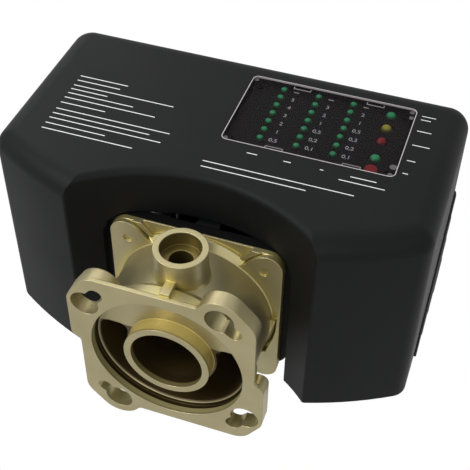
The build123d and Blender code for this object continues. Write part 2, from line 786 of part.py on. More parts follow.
with BuildPart() as valve_ball:
    with Locations((0, ball_y, 0)):
        Sphere(ball_r)
    with BuildSketch(facing(ball_y - ball_r)):
        Circle(ball_bore_r)
    extrude(amount=-2 * ball_r, mode=Mode.SUBTRACT)
    with Locations((0, ball_y, tongue_low_z - tongue_play)):
        Box(2 * ball_r, tongue_width + tongue_play, ball_r, align=(Align.CENTER, Align.CENTER, Align.MIN),
            mode=Mode.SUBTRACT)
valve_ball.part.label = "valve_ball"
export_step(valve_ball.part, "parts/valve_ball.step")

seat_contact_y = math.sqrt(ball_r ** 2 - seat_contact_r ** 2)
with BuildPart() as ball_seats:
    for start_y, end_y in ((seat_front_y, ball_y - seat_contact_y),
                           (liner_end_y - retainer_thick, ball_y + seat_contact_y)):
        with BuildSketch(facing(start_y)):
            Circle(seat_outer_r)
            Circle(ball_bore_r, mode=Mode.SUBTRACT)
        extrude(amount=start_y - end_y)
    with Locations((0, ball_y, 0)):
        Sphere(ball_r + run_fit, mode=Mode.SUBTRACT)
ball_seats.part.label = "ball_seats"
export_step(ball_seats.part, "parts/ball_seats.step")

with BuildPart() as seat_retainer:
    with BuildSketch(facing(liner_end_y)):
        Circle(seat_outer_r)
        Circle(shoulder_r, mode=Mode.SUBTRACT)
        with PolarLocations(shoulder_r + retainer_key_r / 2, 2):
            Circle(retainer_key_r, mode=Mode.SUBTRACT)
    extrude(amount=retainer_thick)
seat_retainer.part.label = "seat_retainer"
export_step(seat_retainer.part, "parts/seat_retainer.step")

gear_z = 43.0
gear_height = 5.0
pinion_x = -gear_pitch_r - pinion_pitch_r
stem_square = 6.4
square_fit = 0.1
stem_shoulder_z = gear_z
cam_gap = 0.5
cam_z = gear_z + gear_height + cam_gap
cam_height = 3.5
cam_r = 9.0
cam_lobe_r = 11.0
stem_top_z = 55.5
collar_z = gland_well_z + clear
collar_height = 2.0
collar_r = gland_well_r - 0.4
gland_spigot_z = collar_z + collar_height + clear
gland_top_z = 41.6
gland_flat = 15.0
ring_levels = (24.0, 29.0)
ring_r = 0.8

with BuildPart() as valve_stem:
    with BuildSketch(level(tongue_low_z)):
        with Locations((0, ball_y)):
            Rectangle(tongue_length, tongue_width)
            Circle(tongue_length / 2, mode=Mode.INTERSECT)
    extrude(amount=tongue_top_z - tongue_low_z)
    with BuildSketch(level(tongue_top_z)):
        with Locations((0, ball_y)):
            Circle(stem_r)
    extrude(amount=stem_shoulder_z - tongue_top_z)
    with BuildSketch(level(collar_z)):
        with Locations((0, ball_y)):
            Circle(collar_r)
    extrude(amount=collar_height)
    for ring_z in ring_levels:
        with BuildSketch(level(ring_z - ring_r)):
            with Locations((0, ball_y)):
                Circle(stem_r + 1)
                Circle(stem_r - 2 * ring_r, mode=Mode.SUBTRACT)
        extrude(amount=2 * ring_r, mode=Mode.SUBTRACT)
    with BuildSketch(level(stem_shoulder_z)):
        with Locations((0, ball_y)):
            Rectangle(stem_square, stem_square)
    extrude(amount=stem_top_z - stem_shoulder_z)
valve_stem.part.label = "valve_stem"
export_step(valve_stem.part, "parts/valve_stem.step")

with BuildPart() as stem_seals:
    with Locations(*[(0, ball_y, ring_z) for ring_z in ring_levels]):
        Torus(stem_r - ring_r, ring_r)
stem_seals.part.label = "stem_seals"
export_step(stem_seals.part, "parts/stem_seals.step")

with BuildPart() as gland_nut:
    with BuildSketch(level(gland_spigot_z)):
        with Locations((0, ball_y)):
            Circle(gland_well_r - run_fit)
    extrude(amount=stem_boss_top_z - gland_spigot_z)
    with BuildSketch(level(stem_boss_top_z)):
        with Locations((0, ball_y)):
            RegularPolygon(gland_flat / 2, 6, major_radius=False)
    extrude(amount=gland_top_z - stem_boss_top_z)
    with BuildSketch(level(gland_spigot_z)):
        with Locations((0, ball_y)):
            Circle(stem_r + run_fit)
    extrude(amount=gland_top_z - gland_spigot_z, mode=Mode.SUBTRACT)
gland_nut.part.label = "gland_nut"
export_step(gland_nut.part, "parts/gland_nut.step")


def spur_outline(teeth, start):
    # Straight-sided teeth, thinner than half the pitch so that the pair runs with play
    pitch_r = gear_module * teeth / 2
    with BuildSketch() as outline:
        Circle(pitch_r - 1.25 * gear_module)
        with PolarLocations(pitch_r, teeth, start_angle=start):
            Polygon((-1.5 * gear_module, -gear_module), (tooth_tip * gear_module, -0.3 * gear_module),
                    (tooth_tip * gear_module, 0.3 * gear_module), (-1.5 * gear_module, gear_module), align=None)
    return outline.sketch


with BuildPart() as output_gear:
    with BuildSketch(level(gear_z)):
        with Locations((0, ball_y)):
            add(spur_outline(gear_teeth, 0))
            with PolarLocations(0.62 * gear_pitch_r, 6):
                Circle(0.17 * gear_pitch_r, mode=Mode.SUBTRACT)
            Rectangle(stem_square + square_fit, stem_square + square_fit, mode=Mode.SUBTRACT)
    extrude(amount=gear_height)
output_gear.part.label = "output_gear"
export_step(output_gear.part, "parts/output_gear.step")

with BuildPart() as position_cam:
    with BuildSketch(level(cam_z)):
        with Locations((0, ball_y)):
            Circle(cam_r)
            with BuildSketch(mode=Mode.PRIVATE) as lobe:
                Circle(cam_lobe_r)
                with Locations((cam_lobe_r, cam_lobe_r)):
                    Rectangle(2 * cam_lobe_r, 2 * cam_lobe_r, mode=Mode.INTERSECT)
            add(lobe.sketch)
            Rectangle(stem_square + square_fit, stem_square + square_fit, mode=Mode.SUBTRACT)
    extrude(amount=cam_height)
position_cam.part.label = "position_cam"
export_step(position_cam.part, "parts/position_cam.step")

clip_ring_r = 6.2
clip_gap_width = 2.4
clip_ring_thick = 0.8
with BuildPart() as stem_clip:
    with BuildSketch(level(cam_z + cam_height)):
        with Locations((0, ball_y)):
            Circle(clip_ring_r)
            Rectangle(stem_square + square_fit, stem_square + square_fit, mode=Mode.SUBTRACT)
            with Locations((0, -clip_ring_r)):
                Rectangle(clip_gap_width, clip_ring_r, mode=Mode.SUBTRACT)
    extrude(amount=clip_ring_thick)
stem_clip.part.label = "stem_clip"
export_step(stem_clip.part, "parts/stem_clip.step")

# Gear motor that hangs under the drive plate
plate_thick = 2.5
drive_plate_top_z = drive_plate_z + plate_thick
shaft_r = 3.0
gearbox_r = 16.0
gearbox_height = 20.0
gearbox_screw_r = 12.0
motor_r = 12.5
motor_height = 36.0
frame_legs = ((-64.0, 70.0), (-64.0, 114.0), (42.0, 66.0), (42.0, 118.0))
plate_front_y = 62.0
plate_back_y = 123.0
plate_left_x = -71.0
plate_right_x = 49.0
drive_plate_corner_r = 6.0
gland_pass_gap = 3.0
plate_slot_x = 30.0
plate_slot_length = 30.0
plate_slot_width = 12.0
flush_head_r = 3.0
plate_screw_play = 0.1
screw_tip_gap = 1.0
frame_z = 53.2
frame_thick = 2.0
leg_r = 3.8
leg_screw_r = 1.5

with BuildPart() as drive_plate:
    with BuildSketch(level(drive_plate_z)):
        with Locations(((plate_left_x + plate_right_x) / 2, (plate_front_y + plate_back_y) / 2)):
            RectangleRounded(plate_right_x - plate_left_x, plate_back_y - plate_front_y, drive_plate_corner_r)
        with Locations((0, ball_y)):
            Circle(gland_flat / 2 + gland_pass_gap, mode=Mode.SUBTRACT)
        with Locations((pinion_x, ball_y)):
            Circle(shaft_r + gland_pass_gap, mode=Mode.SUBTRACT)
        with Locations((plate_slot_x, ball_y)):
            SlotOverall(plate_slot_length, plate_slot_width, rotation=90, mode=Mode.SUBTRACT)
    extrude(amount=plate_thick)
    with Locations((0, post_y, drive_plate_top_z)):
        with GridLocations(2 * post_x, post_y_pitch, 2, 2):
            CounterSinkHole(plate_screw_r + plate_screw_play, flush_head_r + plate_screw_play, plate_thick,
                            counter_sink_angle=90)
    with Locations((pinion_x, ball_y, drive_plate_top_z)):
        with PolarLocations(gearbox_screw_r, 3, start_angle=90):
            CounterSinkHole(plate_screw_r + plate_screw_play, flush_head_r + plate_screw_play, plate_thick,
                            counter_sink_angle=90)
    with Locations(*[(x, y, drive_plate_top_z) for x, y in frame_legs]):
        Hole(leg_screw_r + plate_screw_play, plate_thick)
drive_plate.part.label = "drive_plate"
export_step(drive_plate.part, "parts/drive_plate.step")

with BuildPart() as drive_plate_screws:
    with Locations((0, post_y, drive_plate_top_z)):
        with GridLocations(2 * post_x, post_y_pitch, 2, 2):
            add(flush_screw(plate_screw_r, plate_thick + screw_hole_depth - screw_tip_gap, flush_head_r))
drive_plate_screws.part.label = "drive_plate_screws"
export_step(drive_plate_screws.part, "parts/drive_plate_screws.step")

with BuildPart() as motor_gearbox:
    with BuildSketch(level(drive_plate_z)):
        with Locations((pinion_x, ball_y)):
            Circle(gearbox_r)
    extrude(amount=-gearbox_height)
    with Locations((pinion_x, ball_y, drive_plate_z)):
        Hole(shaft_r + run_fit, gearbox_height / 2)
        with PolarLocations(gearbox_screw_r, 3, start_angle=90):
            Hole(plate_screw_r, screw_hole_depth)
motor_gearbox.part.label = "motor_gearbox"
export_step(motor_gearbox.part, "parts/motor_gearbox.step")

with BuildPart() as gearbox_screws:
    with Locations((pinion_x, ball_y, drive_plate_top_z)):
        with PolarLocations(gearbox_screw_r, 3, start_angle=90):
            add(flush_screw(plate_screw_r, plate_thick + screw_hole_depth - screw_tip_gap, flush_head_r))
gearbox_screws.part.label = "gearbox_screws"
export_step(gearbox_screws.part, "parts/gearbox_screws.step")

motor_top_z = drive_plate_z - gearbox_height
motor_edge_r = 1.5
motor_boss_r = 4.0
motor_boss_height = 2.0
motor_tag_pitch = 14.0
motor_tag = (0.8, 4.0, 5.0)
with BuildPart() as motor_can:
    with BuildSketch(level(motor_top_z)):
        with Locations((pinion_x, ball_y)):
            Circle(motor_r)
    extrude(amount=-motor_height)
    fillet(motor_can.edges().sort_by(Axis.Z)[0], motor_edge_r)
    with BuildSketch(level(motor_top_z - motor_height)):
        with Locations((pinion_x, ball_y)):
            Circle(motor_boss_r)
    extrude(amount=-motor_boss_height)
    with Locations((pinion_x, ball_y, motor_top_z - motor_height)):
        with GridLocations(motor_tag_pitch, 1, 2, 1):
            Box(*motor_tag, align=(Align.CENTER, Align.CENTER, Align.MAX))
motor_can.part.label = "motor_can"
export_step(motor_can.part, "parts/motor_can.step")

with BuildPart() as motor_pinion:
    with BuildSketch(level(gear_z - clear)):
        with Locations((pinion_x, ball_y)):
            add(spur_outline(pinion_teeth, 180 / pinion_teeth))
    extrude(amount=gear_height + 2 * clear)
    with BuildSketch(level(drive_plate_z - gearbox_height / 2 + screw_tip_gap)):
        with Locations((pinion_x, ball_y)):
            Circle(shaft_r)
    extrude(amount=gear_z - drive_plate_z + gearbox_height / 2 - screw_tip_gap)
motor_pinion.part.label = "motor_pinion"
export_step(motor_pinion.part, "parts/motor_pinion.step")

# Frame that carries the lamps and the board over the gears
frame_top_z = frame_z + frame_thick
board_x = 38.5
board_y = 108.5
board_width = 91.0
board_depth = 62.0
board_thick = 1.6
board_z = 56.2
board_screw_x = 84.0
board_screw_y = 55.0
board_screw_r = 1.2
frame_left_x = -71.0
frame_right_x = 88.0
frame_front_y = 62.0
frame_back_y = 140.5
frame_window_x = 62.0
frame_window_width = 30.0
frame_window_depth = 38.0
frame_window_corner_r = 4.0
frame_corner_r = 5.0
stem_pass_r = 8.0
pinion_pass_gap = 2.0
board_post_r = 3.0
arm_side_thick = 2.0
arm_side_depth = 6.0
arm_x = 72.0
arm_width = 22.0
arm_thick = 3.0
arm_low_z = -24.0
socket_z = -37.0
socket_width = 12.0
socket_depth = 11.0

with BuildPart() as chassis_frame:
    with BuildSketch(level(frame_z)):
        with Locations(((frame_left_x + frame_right_x) / 2, (frame_front_y + frame_back_y) / 2)):
            RectangleRounded(frame_right_x - frame_left_x, frame_back_y - frame_front_y, frame_corner_r)
        with Locations((0, ball_y)):
            Circle(stem_pass_r, mode=Mode.SUBTRACT)
        with Locations((frame_window_x, board_y)):
            RectangleRounded(frame_window_width, frame_window_depth, frame_window_corner_r, mode=Mode.SUBTRACT)
        with Locations((pinion_x, ball_y)):
            Circle(pinion_pitch_r + pinion_pass_gap, mode=Mode.SUBTRACT)
    extrude(amount=frame_thick)
    with Locations(*[(x, y, frame_z) for x, y in frame_legs]):
        Cylinder(leg_r, frame_z - drive_plate_top_z, align=(Align.CENTER, Align.CENTER, Align.MAX))
    with Locations((board_x, board_y, frame_top_z)):
        with GridLocations(board_screw_x, board_screw_y, 2, 2):
            Cylinder(board_post_r, board_z - frame_top_z, align=(Align.CENTER, Align.CENTER, Align.MIN))
    # Arm that hangs down behind the valve and holds the power socket over the open bottom
    with Locations((arm_x, frame_back_y - arm_thick / 2, frame_z)):
        Box(arm_width, arm_thick, frame_z - arm_low_z, align=(Align.CENTER, Align.CENTER, Align.MAX))
    with Locations((arm_x, frame_back_y - arm_thick, arm_low_z)):
        Box(arm_width, arm_thick + socket_depth + arm_side_thick, arm_thick,
            align=(Align.CENTER, Align.MAX, Align.MIN))
    for side in (-1, 1):
        with Locations((arm_x + side * (arm_width - arm_side_thick) / 2, frame_back_y - arm_thick, arm_low_z)):
            Box(arm_side_thick, arm_side_depth, frame_z - arm_low_z, align=(Align.CENTER, Align.MAX, Align.MIN))
    with Locations(*[(x, y, drive_plate_top_z) for x, y in frame_legs]):
        Cylinder(leg_screw_r, screw_hole_depth, align=(Align.CENTER, Align.CENTER, Align.MIN), mode=Mode.SUBTRACT)
    with Locations((board_x, board_y, board_z)):
        with GridLocations(board_screw_x, board_screw_y, 2, 2):
            Hole(board_screw_r, board_z - frame_z)
chassis_frame.part.label = "chassis_frame"
export_step(chassis_frame.part, "parts/chassis_frame.step")

leg_head_r = 2.8
leg_head_height = 2.0
with BuildPart() as frame_screws:
    with Locations(*[Location((x, y, drive_plate_z), (180, 0, 0)) for x, y in frame_legs]):
        add(socket_screw(leg_screw_r, plate_thick + screw_hole_depth - screw_tip_gap, leg_head_r, leg_head_height))
frame_screws.part.label = "frame_screws"
export_step(frame_screws.part, "parts/frame_screws.step")

switch_length = 12.8
switch_width = 6.0
switch_height = 4.3
lever_reach = 1.2
lever_size = 2.0
with BuildPart() as position_switches:
    with Locations(Location((0, ball_y, frame_z), (0, 0, 180)), Location((0, ball_y, frame_z), (0, 0, 90))):
        with Locations((cam_lobe_r + clear + lever_reach + switch_width / 2, 0, -switch_height / 2)):
            Box(switch_width, switch_length, switch_height)
        with Locations((cam_lobe_r + clear + lever_reach / 2, lever_size, -switch_height / 2)):
            Box(lever_reach, lever_size, lever_size)
position_switches.part.label = "position_switches"
export_step(position_switches.part, "parts/position_switches.step")

# Board with its lamps, button and mask
lamp_r = 1.9
lamp_column_pitch = 17.6
lamp_row_pitch = 6.55
lamp_middle_x = 31.0
lamp_middle_y = 110.9
lamp_top_z = 66.0
status_x = 67.65
status_lamp_r = 2.9
green_status = ((status_x, 128.7), (status_x, 95.4))
yellow_status = ((status_x, 118.5),)
red_status = ((status_x, 108.3),)
button_y = 86.6
mask_z = 63.0
mask_thick = 1.4
mask_gap = 0.6
mask_post_r = 2.4
mask_corner_r = 2.0
lamp_play = 0.15
board_corner_r = 2.0
board_screw_play = 0.2
board_head_r = 2.3
board_head_height = 1.6
board_screw_reach = 2.5
mask_head_r = 2.2
mask_head_height = 1.2
mask_post_side = 4.6
mask_post_end = 4.2
mask_post_x = window_width / 2 - mask_post_side
mask_post_y = window_depth / 2 - mask_post_end
mask_posts = (
    (window_x - mask_post_x, window_y + mask_post_y),
    (window_x + mask_post_x, window_y + mask_post_y),
    (window_x - mask_post_x, window_y - mask_post_y),
    (window_x + mask_post_x, window_y - mask_post_y),
)
board_top_z = board_z + board_thick

with BuildPart() as circuit_board:
    with BuildSketch(level(board_z)):
        with Locations((board_x, board_y)):
            RectangleRounded(board_width, board_depth, board_corner_r)
            with GridLocations(board_screw_x, board_screw_y, 2, 2):
                Circle(board_screw_r + board_screw_play, mode=Mode.SUBTRACT)
        with Locations(*mask_posts):
            Circle(board_screw_r + board_screw_play, mode=Mode.SUBTRACT)
    extrude(amount=board_thick)
circuit_board.part.label = "circuit_board"
export_step(circuit_board.part, "parts/circuit_board.step")

with BuildPart() as board_screws:
    with Locations((board_x, board_y, board_top_z)):
        with GridLocations(board_screw_x, board_screw_y, 2, 2):
            add(socket_screw(board_screw_r, board_thick + board_screw_reach, board_head_r, board_head_height))
board_screws.part.label = "board_screws"
export_step(board_screws.part, "parts/board_screws.step")

with BuildPart() as display_mask:
    with BuildSketch(level(mask_z)):
        with Locations((window_x, window_y)):
            RectangleRounded(window_width - 2 * window_ledge - 2 * mask_gap,
                             window_depth - 2 * window_ledge - 2 * mask_gap, mask_corner_r)
        with Locations((lamp_middle_x, lamp_middle_y)):
            with GridLocations(lamp_column_pitch, lamp_row_pitch, 3, 7):
                Circle(lamp_r + lamp_play, mode=Mode.SUBTRACT)
        with Locations(*green_status, *yellow_status, *red_status, (status_x, button_y)):
            Circle(status_lamp_r + clear, mode=Mode.SUBTRACT)
    extrude(amount=mask_thick)
    with Locations(*[(x, y, board_top_z) for x, y in mask_posts]):
        Cylinder(mask_post_r, mask_z - board_top_z, align=(Align.CENTER, Align.CENTER, Align.MIN))
    with Locations(*[(x, y, mask_z + mask_thick) for x, y in mask_posts]):
        Hole(board_screw_r, mask_z + mask_thick - board_top_z)
display_mask.part.label = "display_mask"
export_step(display_mask.part, "parts/display_mask.step")

with BuildPart() as mask_screws:
    with Locations(*[(x, y, mask_z + mask_thick) for x, y in mask_posts]):
        add(socket_screw(board_screw_r, mask_z + mask_thick - board_z, mask_head_r, mask_head_height))
mask_screws.part.label = "mask_screws"
export_step(mask_screws.part, "parts/mask_screws.step")


def lamp(radius):
    # Domed lamp that stands on the board
    with BuildPart() as body:
        Cylinder(radius, lamp_top_z - board_top_z - radius, align=(Align.CENTER, Align.CENTER, Align.MIN))
        with Locations((0, 0, lamp_top_z - board_top_z - radius)):
            Sphere(radius)
    return body.part


with BuildPart() as flow_lamps:
    with Locations((lamp_middle_x, lamp_middle_y, board_top_z)):
        with GridLocations(lamp_column_pitch, lamp_row_pitch, 3, 7):
            add(lamp(lamp_r))
flow_lamps.part.label = "flow_lamps"
export_step(flow_lamps.part, "parts/flow_lamps.step")

for name, places in (("green_lamps", green_status), ("yellow_lamp", yellow_status), ("red_lamp", red_status)):
    with BuildPart() as status_lamps:
        with Locations(*[(x, y, board_top_z) for x, y in places]):
            add(lamp(status_lamp_r))
    status_lamps.part.label = name
    export_step(status_lamps.part, f"parts/{name}.step")

button_base_width = 6.0
button_base_height = 2.6
button_wall = 0.9
button_floor = 0.4
button_travel = 1.0
button_stem_play = 0.3
button_proud = 0.9
button_low_z = board_top_z + button_base_height + button_travel + clear
with BuildPart() as button_base:
    with Locations((status_x, button_y, board_top_z)):
        Box(button_base_width, button_base_width, button_base_height, align=(Align.CENTER, Align.CENTER, Align.MIN))
        with Locations((0, 0, button_base_height)):
            Hole(status_lamp_r - button_wall, button_base_height - button_floor)
button_base.part.label = "button_base"
export_step(button_base.part, "parts/button_base.step")

with BuildPart() as manual_button:
    with BuildSketch(level(button_low_z)):
        with Locations((status_x, button_y)):
            Circle(status_lamp_r)
    extrude(amount=mask_z + mask_thick + button_proud - button_low_z)
    with BuildSketch(level(button_low_z)):
        with Locations((status_x, button_y)):
            Circle(status_lamp_r - button_wall - button_stem_play)
    extrude(amount=board_top_z + button_floor + button_travel + clear - button_low_z)
manual_button.part.label = "manual_button"
export_step(manual_button.part, "parts/manual_button.step")

chip_place = (22.0, 88.0)
chip_size = (9.0, 7.0, 1.6)
with BuildPart() as control_chip:
    with Locations((*chip_place, board_top_z)):
        Box(*chip_size, align=(Align.CENTER, Align.CENTER, Align.MIN))
control_chip.part.label = "control_chip"
export_step(control_chip.part, "parts/control_chip.step")

terminal_place = (73.0, 110.5)
terminal_size = (7.0, 24.0, 8.0)
wire_entry = 3.0
wire_pitch = 5.0
wire_entry_z = 5.5
with BuildPart() as terminal_block:
    with Locations((*terminal_place, board_z)):
        Box(*terminal_size, align=(Align.CENTER, Align.CENTER, Align.MAX))
        with Locations((terminal_size[0] / 2, 0, -wire_entry_z)):
            with GridLocations(1, wire_pitch, 1, 4):
                Box(wire_entry, wire_entry, wire_entry, mode=Mode.SUBTRACT)
terminal_block.part.label = "terminal_block"
export_step(terminal_block.part, "parts/terminal_block.step")

plug_r = 3.2
plug_depth = 10.0
pin_r = 1.0
pin_recess = 1.0
socket_y = frame_back_y - arm_thick - socket_depth / 2 - clear
with BuildPart() as power_socket:
    with Locations((arm_x, socket_y, arm_low_z)):
        Box(socket_width, socket_depth, arm_low_z - socket_z, align=(Align.CENTER, Align.CENTER, Align.MAX))
    with Locations((arm_x, socket_y, socket_z)):
        Cylinder(plug_r, plug_depth, align=(Align.CENTER, Align.CENTER, Align.MIN), mode=Mode.SUBTRACT)
power_socket.part.label = "power_socket"
export_step(power_socket.part, "parts/power_socket.step")

with BuildPart() as socket_pin:
    with Locations((arm_x, socket_y, socket_z + pin_recess)):
        Cylinder(pin_r, plug_depth - pin_recess, align=(Align.CENTER, Align.CENTER, Align.MIN))
socket_pin.part.label = "socket_pin"
export_step(socket_pin.part, "parts/socket_pin.step")
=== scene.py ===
import json
import math

import bmesh
import bpy
from mathutils import Matrix, Vector


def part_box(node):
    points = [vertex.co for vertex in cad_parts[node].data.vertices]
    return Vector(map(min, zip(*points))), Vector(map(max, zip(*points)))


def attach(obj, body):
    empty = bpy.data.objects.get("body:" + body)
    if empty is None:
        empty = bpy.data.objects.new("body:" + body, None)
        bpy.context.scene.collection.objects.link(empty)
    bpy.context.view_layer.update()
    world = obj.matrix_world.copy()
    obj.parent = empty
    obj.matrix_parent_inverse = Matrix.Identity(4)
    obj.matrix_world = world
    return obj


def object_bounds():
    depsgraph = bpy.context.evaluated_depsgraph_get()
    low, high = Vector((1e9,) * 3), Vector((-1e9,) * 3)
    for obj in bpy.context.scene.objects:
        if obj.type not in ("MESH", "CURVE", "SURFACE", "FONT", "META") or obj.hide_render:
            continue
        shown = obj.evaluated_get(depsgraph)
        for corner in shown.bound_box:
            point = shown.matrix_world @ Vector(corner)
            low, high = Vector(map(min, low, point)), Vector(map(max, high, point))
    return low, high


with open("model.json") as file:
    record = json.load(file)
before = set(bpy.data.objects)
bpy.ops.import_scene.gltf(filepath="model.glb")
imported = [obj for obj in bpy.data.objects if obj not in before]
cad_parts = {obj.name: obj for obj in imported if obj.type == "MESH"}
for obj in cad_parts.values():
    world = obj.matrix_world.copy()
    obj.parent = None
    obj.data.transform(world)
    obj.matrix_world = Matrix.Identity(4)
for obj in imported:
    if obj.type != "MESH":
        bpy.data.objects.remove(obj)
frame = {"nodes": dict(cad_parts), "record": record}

cadBox = [list(corner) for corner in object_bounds()]
mm = 0.001
scene = bpy.context.scene
scene.view_settings.view_transform = "Standard"
print("frame loaded", len(frame["nodes"]), "nodes")


def linearColour(hexText):
    # sRGB hex to the linear values that a colour socket takes
    channels = [int(hexText[i:i + 2], 16) / 255 for i in (1, 3, 5)]
    return [c / 12.92 if c <= 0.04045 else ((c + 0.055) / 1.055) ** 2.4 for c in channels] + [1.0]


def addNode(material, kind, settings=None, links=None):
    # settings name an input socket, by its name or number, or a property of the node
    # links name an input and the output that feeds it
    node = material.node_tree.nodes.new(kind)
    for key, value in (settings or {}).items():
        if isinstance(key, str) and key not in node.inputs:
            setattr(node, key, value)
    for key, value in (settings or {}).items():
        if isinstance(key, int) or key in node.inputs:
            node.inputs[key].default_value = value
    for key, output in (links or {}).items():
        material.node_tree.links.new(output, node.inputs[key])
    return node


def newMaterial(name):
    material = bpy.data.materials.new(name)
    material.use_nodes = True
    shader = material.node_tree.nodes["Principled BSDF"]
    place = addNode(material, "ShaderNodeTexCoord").outputs["Object"]
    return material, shader, place


def joinTo(material, shader, links):
    for socket, output in links.items():
        material.node_tree.links.new(output, shader.inputs[socket])


# Materials. Sizes are in millimetres

def mouldedPlastic(look):
    # Injection-moulded plastic: a spark-eroded grain, drawn coarser than the real one so that it shows, and a faint
    # cloud of gloss from handling
    look = {"edge": 0.2, "specular": 0.5, "smoother": 0.04, "rougher": 0.05, **look}
    material, shader, place = newMaterial(look["name"])
    cloud = addNode(material, "ShaderNodeTexNoise", {"Scale": 1 / (look["cloud"] * mm), "Detail": 3.0},
                    {"Vector": place})
    grain = addNode(material, "ShaderNodeTexNoise", {"Scale": 1 / (look["grain"] * mm), "Detail": 2.0},
                    {"Vector": place})
    tint = addNode(material, "ShaderNodeMix", {"data_type": "RGBA", 6: linearColour(look["colour"]),
                                               7: linearColour(look["shade"])}, {0: cloud.outputs["Fac"]})
    gloss = addNode(material, "ShaderNodeMapRange", {"To Min": look["rough"] - look["smoother"],
                                                     "To Max": look["rough"] + look["rougher"]},
                    {"Value": cloud.outputs["Fac"]})
    softEdge = addNode(material, "ShaderNodeBevel", {"samples": 6, "Radius": look["edge"] * mm})
    bump = addNode(material, "ShaderNodeBump", {"Strength": look["bump"], "Distance": look["depth"] * mm},
                   {"Height": grain.outputs["Fac"], "Normal": softEdge.outputs[0]})
    joinTo(material, shader, {"Base Color": tint.outputs[2], "Roughness": gloss.outputs[0],
                              "Normal": bump.outputs[0]})
    shader.inputs["IOR"].default_value = 1.5
    shader.inputs["Specular IOR Level"].default_value = look["specular"]
    return material


